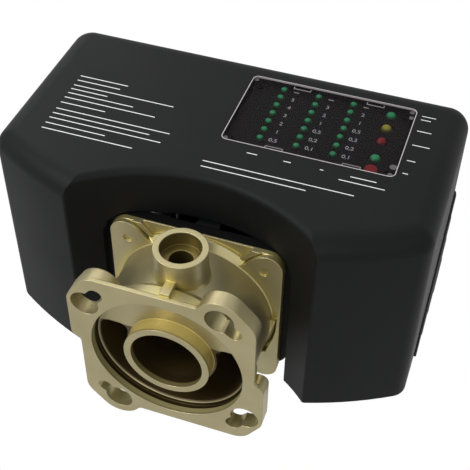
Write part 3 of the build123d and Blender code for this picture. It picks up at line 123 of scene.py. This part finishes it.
def castBrass():
    # Sand-cast dezincification-resistant brass. Shot-blasting leaves a pale, greenish satin skin with a fine pebble,
    # drawn a little coarser than the real one so that it shows. It doesn't reach the chamber and the undercuts,
    # which keep a brown casting skin; there, in the tube's inside and in corners that see little sky, a dark brown
    # is painted as shade.
    # The bores are the ochre of cut metal, and the port's has gone brown. Faces that shelter each other get a
    # painted warm reflection, and the lit places in the mouth a painted highlight
    # Painted light among these colours: the darkest brown is shade, the warm yellow a reflection, the lit skins
    # highlights
    look = {"skin": "#a39a78", "cloud": "#8d8460", "paintedReflectionYellow": "#bcae68", "cut": "#a3945c", "paintedLitBoreColour": "#a09768",
            "paintedShadeBrown": "#43361c", "portBore": "#6f6338", "paintedLitTubeColour": "#c0ae66", "pebbleSize": 0.7, "cloudSize": 16,
            "pebbleDepth": 0.08, "pebbleStrength": 0.3, "edge": 0.6, "shelterReach": 6.0, "portPlace": 22.5,
            "lip": 5.95, "smoothest": 0.34, "roughest": 0.46, "metallic": 0.8, "scatteringMetallic": 0.45}
    material, shader, place = newMaterial("shot-blasted cast brass")
    pebble = addNode(material, "ShaderNodeTexNoise", {"Scale": 1 / (look["pebbleSize"] * mm), "Detail": 4.0},
                     {"Vector": place})
    cloud = addNode(material, "ShaderNodeTexNoise", {"Scale": 1 / (look["cloudSize"] * mm), "Detail": 4.0},
                    {"Vector": place})
    shelter = addNode(material, "ShaderNodeAmbientOcclusion", {"samples": 8, "Distance": look["shelterReach"] * mm})

    # Distances by which the zones are told apart. The bores lie round the water axis, which is the Y axis
    axes = addNode(material, "ShaderNodeSeparateXYZ", {}, {"Vector": place})
    flat = addNode(material, "ShaderNodeMapping", {"Scale": (1, 0, 1)}, {"Vector": place})
    radius = addNode(material, "ShaderNodeVectorMath", {"operation": "LENGTH"}, {"Vector": flat.outputs[0]})
    fromLip = addNode(material, "ShaderNodeMath", {"operation": "SUBTRACT", 1: look["lip"] * mm},
                      {0: axes.outputs["Y"]})
    lipReach = addNode(material, "ShaderNodeMath", {"operation": "ABSOLUTE"}, {0: fromLip.outputs[0]})
    fromPort = addNode(material, "ShaderNodeMapping", {"Location": (0, -look["portPlace"] * mm, 0),
                                                       "Scale": (1, 1, 0)}, {"Vector": place})
    portRadius = addNode(material, "ShaderNodeVectorMath", {"operation": "LENGTH"}, {"Vector": fromPort.outputs[0]})
    distances = {"radius": radius.outputs["Value"], "depth": axes.outputs["Y"], "height": axes.outputs["Z"],
                 "lipReach": lipReach.outputs[0], "portRadius": portRadius.outputs["Value"]}

    # A zone that falls is 1 up to its first distance and 0 from the second; one that rises is 0 and then 1
    zones = (
        ("nearTube", "radius", 20.9, 21.1, "falls"), ("outsideTube", "radius", 20.9, 21.1, "rises"),
        ("insideMouth", "radius", 18.0, 18.2, "falls"), ("outsideMouth", "radius", 18.0, 18.2, "rises"),
        ("beyondLip", "radius", 36.1, 36.3, "rises"), ("inChamber", "radius", 37.2, 37.45, "falls"),
        ("inBore", "radius", 38.3, 38.5, "falls"), ("outsideBore", "radius", 38.3, 38.5, "rises"),
        ("behindMouth", "depth", 0.1, 1.5, "rises"), ("tubeShade", "depth", 2.2, 3.0, "rises"),
        ("boreFront", "depth", 3.4, 3.5, "falls"), ("grooveStart", "depth", 3.5, 3.7, "rises"),
        ("grooveEnd", "depth", 6.35, 6.45, "falls"), ("behindLip", "depth", 6.4, 6.9, "rises"),
        ("onLip", "lipReach", 0.4, 0.5, "falls"), ("belowWeb", "height", 8.9, 9.3, "falls"),
        ("aboveDrum", "height", 36.0, 36.5, "rises"), ("belowRim", "height", 51.9, 52.3, "falls"),
        ("inPort", "portRadius", 9.6, 9.75, "falls"),
    )
    masks = {}
    for name, distance, start, end, sense in zones:
        before, after = (1.0, 0.0) if sense == "falls" else (0.0, 1.0)
        masks[name] = addNode(material, "ShaderNodeMapRange", {"From Min": start * mm, "From Max": end * mm,
                                                               "To Min": before, "To Max": after},
                              {0: distances[distance]}).outputs[0]
    # How much of the sky a point sees: below the first share a mask is at its most, from the second it is 0. These
    # masks place painted shade and a painted warm reflection
    for name, hidden, free, most in (("paintedAoShade", 0.05, 0.5, 1.0), ("sheltered", 0.45, 1.0, 0.85)):
        masks[name] = addNode(material, "ShaderNodeMapRange", {"From Min": hidden, "From Max": free,
                                                               "To Min": most, "To Max": 0.0},
                              {0: shelter.outputs["AO"]}).outputs[0]

    # Painted light: the bore's front, the lip and the tube's skin are painted bright, as if lit by light bounced in
    # the mouth, while painted shade darkens the chamber, the groove before the lip and the tube's inside
    steps = (
        ("paintedLitBore", "MULTIPLY", ("inBore", "boreFront")), ("paintedBright", "MAXIMUM", ("paintedLitBore", "nearTube")),
        ("paintedLit", "MULTIPLY", ("paintedBright", "outsideMouth")), ("paintedLitLip", "MULTIPLY", ("onLip", "inBore")),
        ("paintedLitPlaces", "MAXIMUM", ("paintedLit", "paintedLitLip")), ("paintedAoShadeOnLit", "MULTIPLY", ("paintedAoShade", "paintedLitPlaces")),
        ("paintedAoShadeOffLit", "SUBTRACT", ("paintedAoShade", "paintedAoShadeOnLit")),
        ("chamber", "MULTIPLY", ("inChamber", "behindLip", "belowWeb", "outsideTube")),
        ("groove", "MULTIPLY", ("grooveStart", "grooveEnd", "beyondLip", "inBore")),
        ("tubeInside", "MULTIPLY", ("insideMouth", "tubeShade")),
        ("paintedShade", "MAXIMUM", ("groove", "tubeInside", "chamber", "paintedAoShadeOffLit")),
        ("turned", "MULTIPLY", ("nearTube", "behindMouth")), ("paintedWarmReflection", "MULTIPLY", ("sheltered", "outsideBore")),
        ("port", "MULTIPLY", ("inPort", "belowRim", "aboveDrum")), ("paintedLitSkin", "MULTIPLY", ("paintedLit", "behindMouth")),
        ("scattering", "MAXIMUM", ("chamber", "paintedLitSkin")),
    )
    for name, operation, sources in steps:
        masks[name] = masks[sources[0]]
        for source in sources[1:]:
            masks[name] = addNode(material, "ShaderNodeMath", {"operation": operation},
                                  {0: masks[name], 1: masks[source]}).outputs[0]

    # Colours are laid over each other: the skin, the cut bores, a painted warm reflection where one face shelters
    # another, the port's brown, the painted highlight of the lit skin in the mouth, and last the painted shade of
    # the dark places
    # Painted highlight: the lit bore front and tube skin get lighter colours
    paintedLightTint = addNode(material, "ShaderNodeMix", {"data_type": "RGBA", 6: linearColour(look["paintedLitBoreColour"]),
                                                  7: linearColour(look["paintedLitTubeColour"])}, {0: masks["nearTube"]})
    tint = addNode(material, "ShaderNodeMix", {"data_type": "RGBA", 6: linearColour(look["skin"]),
                                               7: linearColour(look["cloud"])}, {0: cloud.outputs["Fac"]})
    # Painted warm reflection: in this loop the sheltered faces are tinted a warm yellow
    for mask, colour in (("turned", "cut"), ("paintedWarmReflection", "paintedReflectionYellow"), ("port", "portBore")):
        tint = addNode(material, "ShaderNodeMix", {"data_type": "RGBA", 7: linearColour(look[colour])},
                       {0: masks[mask], 6: tint.outputs[2]})
    tint = addNode(material, "ShaderNodeMix", {"data_type": "RGBA"},
                   {0: masks["paintedLitSkin"], 6: tint.outputs[2], 7: paintedLightTint.outputs[2]})
    # Painted shade: the dark places are tinted dark brown
    tint = addNode(material, "ShaderNodeMix", {"data_type": "RGBA", 7: linearColour(look["paintedShadeBrown"])},
                   {0: masks["paintedShade"], 6: tint.outputs[2]})
    metal = addNode(material, "ShaderNodeMapRange", {"To Min": look["metallic"],
                                                     "To Max": look["scatteringMetallic"]}, {0: masks["scattering"]})
    gloss = addNode(material, "ShaderNodeMapRange", {"To Min": look["smoothest"], "To Max": look["roughest"]},
                    {0: cloud.outputs["Fac"]})
    softEdge = addNode(material, "ShaderNodeBevel", {"samples": 8, "Radius": look["edge"] * mm})
    bump = addNode(material, "ShaderNodeBump", {"Strength": look["pebbleStrength"],
                                                "Distance": look["pebbleDepth"] * mm},
                   {"Height": pebble.outputs["Fac"], "Normal": softEdge.outputs[0]})
    joinTo(material, shader, {"Base Color": tint.outputs[2], "Roughness": gloss.outputs[0],
                              "Normal": bump.outputs[0], "Metallic": metal.outputs[0]})
    return material


def turnedMetal(look):
    # Lathe-turned or drawn metal: lines along one axis, drawn coarser than the real ones so that they show, break
    # up the reflection
    look = {"smoother": 0.05, "rougher": 0.08, "bump": 0.15, "depth": 0.03, **look}
    material, shader, place = newMaterial(look["name"])
    stretch = addNode(material, "ShaderNodeMapping", {"Scale": look["stretch"]}, {"Vector": place})
    lines = addNode(material, "ShaderNodeTexNoise", {"Scale": 1 / (look["line"] * mm), "Detail": 2.0},
                    {"Vector": stretch.outputs[0]})
    tint = addNode(material, "ShaderNodeMix", {"data_type": "RGBA", 6: linearColour(look["colour"]),
                                               7: linearColour(look["shade"])}, {0: lines.outputs["Fac"]})
    gloss = addNode(material, "ShaderNodeMapRange", {"To Min": look["rough"] - look["smoother"],
                                                     "To Max": look["rough"] + look["rougher"]},
                    {"Value": lines.outputs["Fac"]})
    bump = addNode(material, "ShaderNodeBump", {"Strength": look["bump"], "Distance": look["depth"] * mm},
                   {"Height": lines.outputs["Fac"]})
    joinTo(material, shader, {"Base Color": tint.outputs[2], "Roughness": gloss.outputs[0],
                              "Normal": bump.outputs[0]})
    shader.inputs["Metallic"].default_value = 1.0
    return material


def clearAcrylic(box):
    # Smoked acrylic sheet with a trace of cloudiness from wiping, thin enough to let most light straight through.
    # Its sawn edge is drawn with a painted highlight, a thin pinkish line
    # The pale pink edge colour is a painted highlight
    look = {"smoke": "#1a1718", "edge": "#bab2b4", "cover": 0.28, "edgeWidth": 0.45, "edgeFade": 0.15,
            "cornerRadius": 2.9, "sheet": 1.15, "sheetFade": 0.1, "hazeSize": 9, "smoothest": 0.1, "roughest": 0.2}
    material, shader, place = newMaterial("smoked clear acrylic")
    haze = addNode(material, "ShaderNodeTexNoise", {"Scale": 1 / (look["hazeSize"] * mm), "Detail": 4.0},
                   {"Vector": place})
    gloss = addNode(material, "ShaderNodeMapRange", {"To Min": look["smoothest"], "To Max": look["roughest"]},
                    {0: haze.outputs["Fac"]})
    centred = addNode(material, "ShaderNodeMapping",
                      {"Location": [-(box[0][axis] + box[1][axis]) / 2 for axis in range(3)]}, {"Vector": place})
    reach = addNode(material, "ShaderNodeVectorMath", {"operation": "ABSOLUTE"}, {0: centred.outputs[0]})
    # How far a point lies outside the rectangle through the middles of the corner arcs, level all along the rim.
    # The third number takes the height out of it
    middles = [(box[1][axis] - box[0][axis]) / 2 - look["cornerRadius"] * mm for axis in range(2)]
    outward = addNode(material, "ShaderNodeVectorMath", {"operation": "SUBTRACT", 1: (*middles, 1.0)},
                      {0: reach.outputs[0]})
    beyond = addNode(material, "ShaderNodeVectorMath", {"operation": "MAXIMUM", 1: (0, 0, 0)},
                     {0: outward.outputs[0]})
    nearest = addNode(material, "ShaderNodeVectorMath", {"operation": "LENGTH"}, {0: beyond.outputs[0]})
    edgeStart = look["cornerRadius"] - look["edgeWidth"]
    edge = addNode(material, "ShaderNodeMapRange", {"From Min": edgeStart * mm,
                                                    "From Max": (edgeStart + look["edgeFade"]) * mm},
                   {0: nearest.outputs["Value"]})
    axes = addNode(material, "ShaderNodeSeparateXYZ", {}, {"Vector": place})
    inSheet = addNode(material, "ShaderNodeMapRange",
                      {"From Min": box[1][2] - (look["sheet"] + look["sheetFade"]) * mm,
                       "From Max": box[1][2] - look["sheet"] * mm}, {0: axes.outputs["Z"]})
    # Painted highlight: the rim of the sheet is tinted pale pink and made opaque
    paintedRimHighlight = addNode(material, "ShaderNodeMath", {"operation": "MULTIPLY"},
                      {0: edge.outputs[0], 1: inSheet.outputs[0]})
    tint = addNode(material, "ShaderNodeMix", {"data_type": "RGBA", 6: linearColour(look["smoke"]),
                                               7: linearColour(look["edge"])}, {0: paintedRimHighlight.outputs[0]})
    cover = addNode(material, "ShaderNodeMapRange", {"To Min": look["cover"], "To Max": 1.0},
                    {0: paintedRimHighlight.outputs[0]})
    joinTo(material, shader, {"Base Color": tint.outputs[2], "Alpha": cover.outputs[0],
                              "Roughness": gloss.outputs[0]})
    shader.inputs["IOR"].default_value = 1.49
    shader.inputs["Specular IOR Level"].default_value = 0.06
    return material


def lampPlastic(look):
    # Diffusing epoxy of a light-emitting diode: a deep tint that pales over the chip, at the top of the dome
    look = {"cloud": 1.2, "palest": 0.75, "strongest": 1.15, **look}
    material, shader, place = newMaterial(look["name"])
    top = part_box(look["node"])[1][2]
    axes = addNode(material, "ShaderNodeSeparateXYZ", {}, {"Vector": place})
    rise = addNode(material, "ShaderNodeMapRange", {"From Min": top - look["dome"] * mm, "From Max": top,
                                                    "interpolation_type": "SMOOTHSTEP"}, {0: axes.outputs["Z"]})
    cloud = addNode(material, "ShaderNodeTexNoise", {"Scale": 1 / (look["cloud"] * mm), "Detail": 2.0},
                    {"Vector": place})
    uneven = addNode(material, "ShaderNodeMapRange", {"To Min": look["palest"], "To Max": look["strongest"]},
                     {0: cloud.outputs["Fac"]})
    pale = addNode(material, "ShaderNodeMath", {"operation": "MULTIPLY"},
                   {0: rise.outputs[0], 1: uneven.outputs[0]})
    tint = addNode(material, "ShaderNodeMix", {"data_type": "RGBA", 6: linearColour(look["shade"]),
                                               7: linearColour(look["colour"])}, {0: pale.outputs[0]})
    joinTo(material, shader, {"Base Color": tint.outputs[2], "Emission Color": tint.outputs[2]})
    shader.inputs["Emission Strength"].default_value = look["glow"]
    shader.inputs["Roughness"].default_value = 0.35
    shader.inputs["Specular IOR Level"].default_value = 0.3
    shader.inputs["Subsurface Weight"].default_value = 0.2
    shader.inputs["Subsurface Radius"].default_value = (mm, mm, mm)
    return material


def flatFinish(look):
    # Printed ink, and the painted highlights and studs of the acrylic lens: flat, in slightly uneven patches
    look = {"patch": 0.6, "rough": 0.5, **look}
    material, shader, place = newMaterial(look["name"])
    cover = addNode(material, "ShaderNodeTexNoise", {"Scale": 1 / (look["patch"] * mm), "Detail": 2.0},
                    {"Vector": place})
    tint = addNode(material, "ShaderNodeMix", {"data_type": "RGBA", 6: linearColour(look["colour"]),
                                               7: linearColour(look["shade"])}, {0: cover.outputs["Fac"]})
    joinTo(material, shader, {"Base Color": tint.outputs[2]})
    shader.inputs["Roughness"].default_value = look["rough"]
    return material


plastics = {
    "hood_plastic": {"name": "grained black ABS", "colour": "#0d0e0e", "shade": "#090a0a", "rough": 0.54,
                     "cloud": 40, "grain": 0.7, "depth": 0.05, "bump": 0.22, "edge": 0.6, "specular": 0.11},
    "housing_plastic": {"name": "glass-filled black nylon", "colour": "#060606", "shade": "#030303", "rough": 0.55,
                        "cloud": 12, "grain": 1.2, "depth": 0.06, "bump": 0.3, "specular": 0.12},
    "frame_plastic": {"name": "plain black ABS", "colour": "#1e1f20", "shade": "#17181a", "rough": 0.5,
                      "cloud": 15, "grain": 0.8, "depth": 0.03, "bump": 0.2},
    "mask_plastic": {"name": "brown-black polycarbonate", "colour": "#0d0c0b", "shade": "#090908", "rough": 0.55,
                     "cloud": 10, "grain": 0.4, "depth": 0.01, "bump": 0.05, "specular": 0.15},
    "seat_plastic": {"name": "white PTFE", "colour": "#ecebe5", "shade": "#e0dfd8", "rough": 0.4,
                     "cloud": 8, "grain": 1.0, "depth": 0.02, "bump": 0.1},
    "gear_plastic": {"name": "natural acetal", "colour": "#e4e1d4", "shade": "#d8d4c4", "rough": 0.38,
                     "cloud": 10, "grain": 1.0, "depth": 0.02, "bump": 0.1},
    "turbine_plastic": {"name": "blue acetal", "colour": "#33588f", "shade": "#2a4a7c", "rough": 0.4,
                        "cloud": 6, "grain": 0.8, "depth": 0.02, "bump": 0.1},
    "seal_rubber": {"name": "black EPDM rubber", "colour": "#0c0c0c", "shade": "#080808", "rough": 0.7,
                    "cloud": 6, "grain": 0.5, "depth": 0.03, "bump": 0.25, "specular": 0.2},
    "board_laminate": {"name": "green solder-masked laminate", "colour": "#123a22", "shade": "#0e2e1b",
                       "rough": 0.35, "cloud": 5, "grain": 1.3, "depth": 0.02, "bump": 0.2},
    "terminal_plastic": {"name": "green polyamide", "colour": "#2b6b45", "shade": "#24593a", "rough": 0.45,
                         "cloud": 6, "grain": 0.8, "depth": 0.02, "bump": 0.15},
}
metals = {
    "turned_brass": {"name": "turned brass", "colour": "#c3a254", "shade": "#b3923f", "rough": 0.28,
                     "stretch": (1, 1, 6), "line": 0.6},
    "screw_steel": {"name": "plain steel screws", "colour": "#b9b9b8", "shade": "#a5a5a3", "rough": 0.3,
                    "stretch": (1, 1, 4), "line": 0.5},
    "plate_steel": {"name": "zinc-plated sheet steel", "colour": "#b4b7ba", "shade": "#a3a7aa", "rough": 0.35,
                    "stretch": (6, 1, 1), "line": 0.8},
    "chrome_ball": {"name": "chrome-plated brass", "colour": "#dcdde0", "shade": "#d0d1d5", "rough": 0.12,
                    "stretch": (1, 1, 1), "line": 3},
}
green = {"name": "green diffused epoxy", "colour": "#34a06c", "shade": "#073319", "glow": 0.4}
yellow = {"name": "yellow diffused epoxy", "colour": "#a89f38", "shade": "#45400e", "glow": 0.35}
red = {"name": "red diffused epoxy", "colour": "#8a1418", "shade": "#3a0506", "glow": 0.35}
lampLooks = (
    {**green, "node": "flow_lamps", "dome": 1.0}, {**green, "node": "green_lamps", "dome": 1.5},
    {**yellow, "node": "yellow_lamp", "dome": 1.5}, {**red, "node": "red_lamp", "dome": 1.5},
    # The manual button is no lamp: its glow and the paler top of its dome are painted light
    {**red, "name": "red acetal with painted glow", "node": "manual_button", "dome": 2.2},
)

finishOfSlot = {slot: mouldedPlastic(look) for slot, look in plastics.items()}
finishOfSlot["cast_brass"] = castBrass()
finishOfSlot.update({slot: turnedMetal(look) for slot, look in metals.items()})
finishOfSlot["motor_steel"] = finishOfSlot["screw_steel"]
finishOfSlot["clear_lens"] = clearAcrylic(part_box("window_lens"))
finishOfNode = {look["node"]: lampPlastic(look) for look in lampLooks}
finishOfNode["mask_screws"] = turnedMetal({"name": "black-oxide steel screws", "colour": "#1b1b1c",
                                           "shade": "#141415", "rough": 0.45, "stretch": (1, 1, 4), "line": 0.5})
for subpart in frame["record"]["subparts"]:
    node = frame["nodes"][subpart["node"]]
    finish = finishOfNode.get(subpart["node"]) or finishOfSlot[subpart["material_slot"]]
    if not node.material_slots:
        node.data.materials.append(finish)
    for materialSlot in node.material_slots:
        materialSlot.material = finish
print("materials set")


# Printed marks and small details of the lamp window

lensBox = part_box("window_lens")
lensSheet = 1.2  # mm, without its clips
lensUnder = lensBox[1][2] / mm - lensSheet


def finishPiece(mesh, name, look, body):
    bmesh.ops.recalc_face_normals(mesh, faces=mesh.faces)
    data = bpy.data.meshes.new(name)
    mesh.to_mesh(data)
    mesh.free()
    data.materials.append(flatFinish(look))
    piece = bpy.data.objects.new(name, data)
    scene.collection.objects.link(piece)
    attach(piece, body)


def addBar(mesh, low, high):
    # A flat bar between two corners in millimetres
    made = bmesh.ops.create_cube(mesh, size=1.0)["verts"]
    bmesh.ops.scale(mesh, verts=made, vec=[(high[axis] - low[axis]) * mm for axis in range(3)])
    bmesh.ops.translate(mesh, verts=made, vec=[(high[axis] + low[axis]) / 2 * mm for axis in range(3)])


def addNumber(mesh, digits, place, settings):
    # Plain number, made a mesh before it takes its place
    curve = bpy.data.curves.new("number", "FONT")
    curve.body = digits
    curve.size = settings["bodySize"] * settings["height"] * mm
    curve.align_x = "CENTER"
    curve.align_y = "CENTER"
    curve.extrude = settings["halfThickness"] * mm
    curve.offset = settings["boldness"] * settings["height"] * mm
    holder = bpy.data.objects.new("number", curve)
    scene.collection.objects.link(holder)
    bpy.context.view_layer.update()
    made = bpy.data.meshes.new_from_object(holder.evaluated_get(bpy.context.evaluated_depsgraph_get()))
    made.transform(Matrix.Translation([distance * mm for distance in place]))
    mesh.from_mesh(made)
    bpy.data.objects.remove(holder)
    bpy.data.curves.remove(curve)
    bpy.data.meshes.remove(made)


def addScaleNumbers():
    # Plain scale numbers to the right of each lamp, and a dash beside the top lamp of each column
    look = {"name": "screen-printed grey ink", "colour": "#e4e3ec", "shade": "#d0cfda"}
    settings = {"columns": (13.4, 31.0, 48.6), "gap": 6.2, "rise": 0.4, "lampWidth": 3.8, "height": 2.5,
                "bodySize": 1.38, "boldness": 0.012, "halfThickness": 0.02, "sink": 0.01,
                "dashWidth": 2.6, "dashDepth": 0.7, "dashDrop": 0.3}
    scales = (("5", "4", "3", "2", "1", "0,5"), ("3", "2", "1", "0,5", "0,2", "0,1"),
              ("2", "1", "0,5", "0,3", "0,2", "0,1"))
    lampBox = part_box("flow_lamps")
    middle = (lampBox[0][1] + lampBox[1][1]) / 2 / mm
    steps = len(scales[0])
    pitch = ((lampBox[1][1] - lampBox[0][1]) / mm - settings["lampWidth"]) / steps
    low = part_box("display_mask")[1][2] / mm - settings["sink"]
    mesh = bmesh.new()
    for column, scale in zip(settings["columns"], scales):
        x = column + settings["gap"]
        y = middle + steps / 2 * pitch + settings["rise"]
        left, front = x - settings["dashWidth"] / 2, y - settings["dashDepth"] / 2 - settings["dashDrop"]
        addBar(mesh, (left, front, low),
               (left + settings["dashWidth"], front + settings["dashDepth"], low + 2 * settings["halfThickness"]))
        for row, digits in enumerate(scale):
            addNumber(mesh, digits, (x, y - (row + 1) * pitch, low + settings["halfThickness"]), settings)
    finishPiece(mesh, "scaleNumbers", look, "water_body")


def addClipOutlines():
    # Painted highlights: pale lines along the rims where the four clips of the lens hook under the hood
    look = {"name": "painted highlight of the clip rims", "colour": "#b7adb0", "shade": "#9a9194"}
    settings = {"clipX": 18.4, "shift": 2.5, "inset": 0.95, "width": 8.7, "rearDepth": 1.6, "frontDepth": 2.2,
                "line": 0.4, "hang": 0.25, "sink": 0.05}
    middle = (lensBox[0][0] + lensBox[1][0]) / 2 / mm
    line = settings["line"]
    mesh = bmesh.new()
    for side in (-1, 1):
        for outer, inward in ((lensBox[1][1] / mm - settings["inset"], -settings["rearDepth"]),
                              (lensBox[0][1] / mm + settings["inset"], settings["frontDepth"])):
            left = middle + settings["shift"] + side * settings["clipX"] - settings["width"] / 2
            right = left + settings["width"]
            inner = outer + inward
            near, far = min(outer, inner), max(outer, inner)
            for low, high in (((left, near), (left + line, far)), ((right - line, near), (right, far)),
                              ((left, inner - line / 2), (right, inner + line / 2))):
                addBar(mesh, (*low, lensUnder - settings["hang"]), (*high, lensUnder + settings["sink"]))
    finishPiece(mesh, "clipOutlines", look, "hood_shell")


def addLensStuds():
    # Small moulded studs under the corners of the lens: their places and radii
    look = {"name": "moulded acrylic studs", "colour": "#7d7879", "shade": "#5c5859"}
    settings = {"height": 0.3, "rounding": 0.12, "sink": 0.05, "sides": 28}
    studs = ((-1.5, 132.1, 1.25), (77.1, 132.1, 1.25), (77.5, 127.9, 1.25), (77.2, 90.0, 1.75), (76.9, 84.3, 1.25),
             (-1.4, 84.3, 1.25))
    middle = lensUnder - settings["height"] / 2 + settings["sink"]
    mesh = bmesh.new()
    for x, y, radius in studs:
        made = bmesh.ops.create_cone(mesh, cap_ends=True, segments=settings["sides"], radius1=radius * mm,
                                     radius2=radius * mm, depth=settings["height"] * mm)["verts"]
        bmesh.ops.translate(mesh, verts=made, vec=(x * mm, y * mm, middle * mm))
        rims = [edge for edge in {edge for vert in made for edge in vert.link_edges}
                if abs(edge.verts[0].co.z - edge.verts[1].co.z) < 1e-6]
        bmesh.ops.bevel(mesh, geom=rims, offset=settings["rounding"] * mm, affect="EDGES", segments=3, profile=0.5,
                        material=-1)
    finishPiece(mesh, "lensStuds", look, "hood_shell")


def addRuledLines():
    # Plain ruled lines on the top of the hood. The two blocks give each line's right end and its Y, the others give
    # left end, right end and Y
    look = {"name": "pad-printed white ink", "colour": "#e2e4e4", "shade": "#c6c8c8"}
    settings = {"line": 0.5, "sink": 0.05, "stand": 0.008, "left": -84.0, "right": 82.1}
    leftBlock = ((-58.6, 103.6), (-61.3, 99.9), (-31.7, 95.8), (-64.7, 92.6), (-49.9, 89.2), (-37.1, 85.5),
                 (-60.9, 81.3), (-26.0, 76.3), (-34.6, 72.6), (-27.6, 69.0), (-53.7, 64.9), (-38.4, 60.9))
    rightBlock = ((88.8, 129.4), (86.9, 126.6), (88.9, 117.7), (90.2, 106.9), (86.0, 95.3), (84.6, 86.0))
    marks = [(settings["left"], *end) for end in leftBlock]
    marks += [(-5.0, 65.3, 64.0), (-4.6, 44.5, 60.2)]
    marks += [(12.0, 17.0, 75.8), (29.5, 33.0, 75.8), (46.6, 48.2, 75.8), (60.7, 72.6, 75.8), (56.2, 77.2, 72.2)]
    marks += [(settings["right"], *end) for end in rightBlock]
    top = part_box("hood")[1][2] / mm
    mesh = bmesh.new()
    for left, right, y in marks:
        addBar(mesh, (left, y - settings["line"] / 2, top - settings["sink"]),
               (right, y + settings["line"] / 2, top + settings["stand"]))
    finishPiece(mesh, "ruledLines", look, "hood_shell")


addScaleNumbers()
addClipOutlines()
addLensStuds()
addRuledLines()
print("window details made")


# Stage, lights and camera. Sizes are in metres

def whiteRays(owner):
    # 1 for the rays by which the camera, metal and clear plastic see the background
    path = addNode(owner, "ShaderNodeLightPath")
    seen = addNode(owner, "ShaderNodeMath", {"operation": "MAXIMUM"},
                   {0: path.outputs["Is Camera Ray"], 1: path.outputs["Is Transmission Ray"]})
    return addNode(owner, "ShaderNodeMath", {"operation": "MAXIMUM"},
                   {0: seen.outputs[0], 1: path.outputs["Is Glossy Ray"]}).outputs[0]


def addStage():
    # A floor well below the device. The camera sees it as white as the background, with no shadow on it
    settings = {"drop": 0.28, "size": 9.0, "colour": "#f4f4f2", "rough": 0.9}
    mesh = bmesh.new()
    bmesh.ops.create_grid(mesh, x_segments=1, y_segments=1, size=settings["size"])
    bmesh.ops.translate(mesh, verts=mesh.verts, vec=(0, 0, cadBox[0][2] - settings["drop"]))
    data = bpy.data.meshes.new("floor")
    mesh.to_mesh(data)
    mesh.free()
    floor = bpy.data.objects.new("floor", data)
    scene.collection.objects.link(floor)
    material, shader, place = newMaterial("matt white paper")
    shader.inputs["Base Color"].default_value = linearColour(settings["colour"])
    shader.inputs["Roughness"].default_value = settings["rough"]
    white = addNode(material, "ShaderNodeEmission", {"Color": (1, 1, 1, 1), "Strength": 1.0})
    mix = addNode(material, "ShaderNodeMixShader", {},
                  {0: whiteRays(material), 1: shader.outputs[0], 2: white.outputs[0]})
    joinTo(material, material.node_tree.nodes["Material Output"], {"Surface": mix.outputs[0]})
    data.materials.append(material)


def addWorld():
    # A white studio as the camera, metal and clear plastic see it, and a lower plain light on the object
    settings = {"plain": 0.45, "seen": 1.0}
    world = bpy.data.worlds.new("studio")
    scene.world = world
    world.use_nodes = True
    back = world.node_tree.nodes["Background"]
    strength = addNode(world, "ShaderNodeMapRange", {"To Min": settings["plain"], "To Max": settings["seen"]},
                       {"Value": whiteRays(world)})
    joinTo(world, back, {"Strength": strength.outputs[0]})
    back.inputs["Color"].default_value = (1, 1, 1, 1)


def addLamp(settings):
    lamp = bpy.data.lights.new(settings["name"], "AREA")
    lamp.shape = "RECTANGLE"
    lamp.size, lamp.size_y = settings["size"]
    lamp.energy = settings["watts"]
    holder = bpy.data.objects.new(settings["name"], lamp)
    scene.collection.objects.link(holder)
    holder.location = settings["place"]
    aim = Vector(settings["aim"]) - holder.location
    holder.rotation_euler = aim.to_track_quat("-Z", "Y").to_euler()


def addCamera():
    # Fitted to the photograph's edges; the turn is in degrees, the lens and sensor in millimetres
    settings = {"place": (0.11895, -0.2619, 0.3675), "turn": (45.08, -0.68, 19.01), "lens": 77.74, "sensor": 36,
                "far": 50}
    camera = bpy.data.cameras.new("photographView")
    camera.sensor_width = settings["sensor"]
    camera.lens = settings["lens"]
    camera.clip_end = settings["far"]
    holder = bpy.data.objects.new("photographView", camera)
    holder.location = settings["place"]
    holder.rotation_euler = [math.radians(angle) for angle in settings["turn"]]
    scene.collection.objects.link(holder)
    scene.camera = holder


lamps = (
    {"name": "keySoftbox", "place": (-0.55, -0.45, 0.75), "aim": (0, 0.05, 0), "size": (0.5, 0.5), "watts": 9},
    {"name": "rightFill", "place": (0.75, -0.25, 0.35), "aim": (0, 0.05, 0), "size": (0.5, 0.7), "watts": 0.4},
    {"name": "frontFill", "place": (0.25, -0.8, 0.4), "aim": (0, 0.03, 0), "size": (0.4, 0.4), "watts": 2},
    {"name": "topSoftbox", "place": (-0.25, 0.3, 0.9), "aim": (0, 0.05, 0), "size": (0.6, 0.4), "watts": 2},
    {"name": "leftSoftbox", "place": (-0.42, 0.42, 0.42), "aim": (-0.08, 0.09, 0.06), "size": (0.3, 0.3),
     "watts": 0.7},
)
addStage()
addWorld()
for settings in lamps:
    addLamp(settings)
addCamera()
print("stage set")
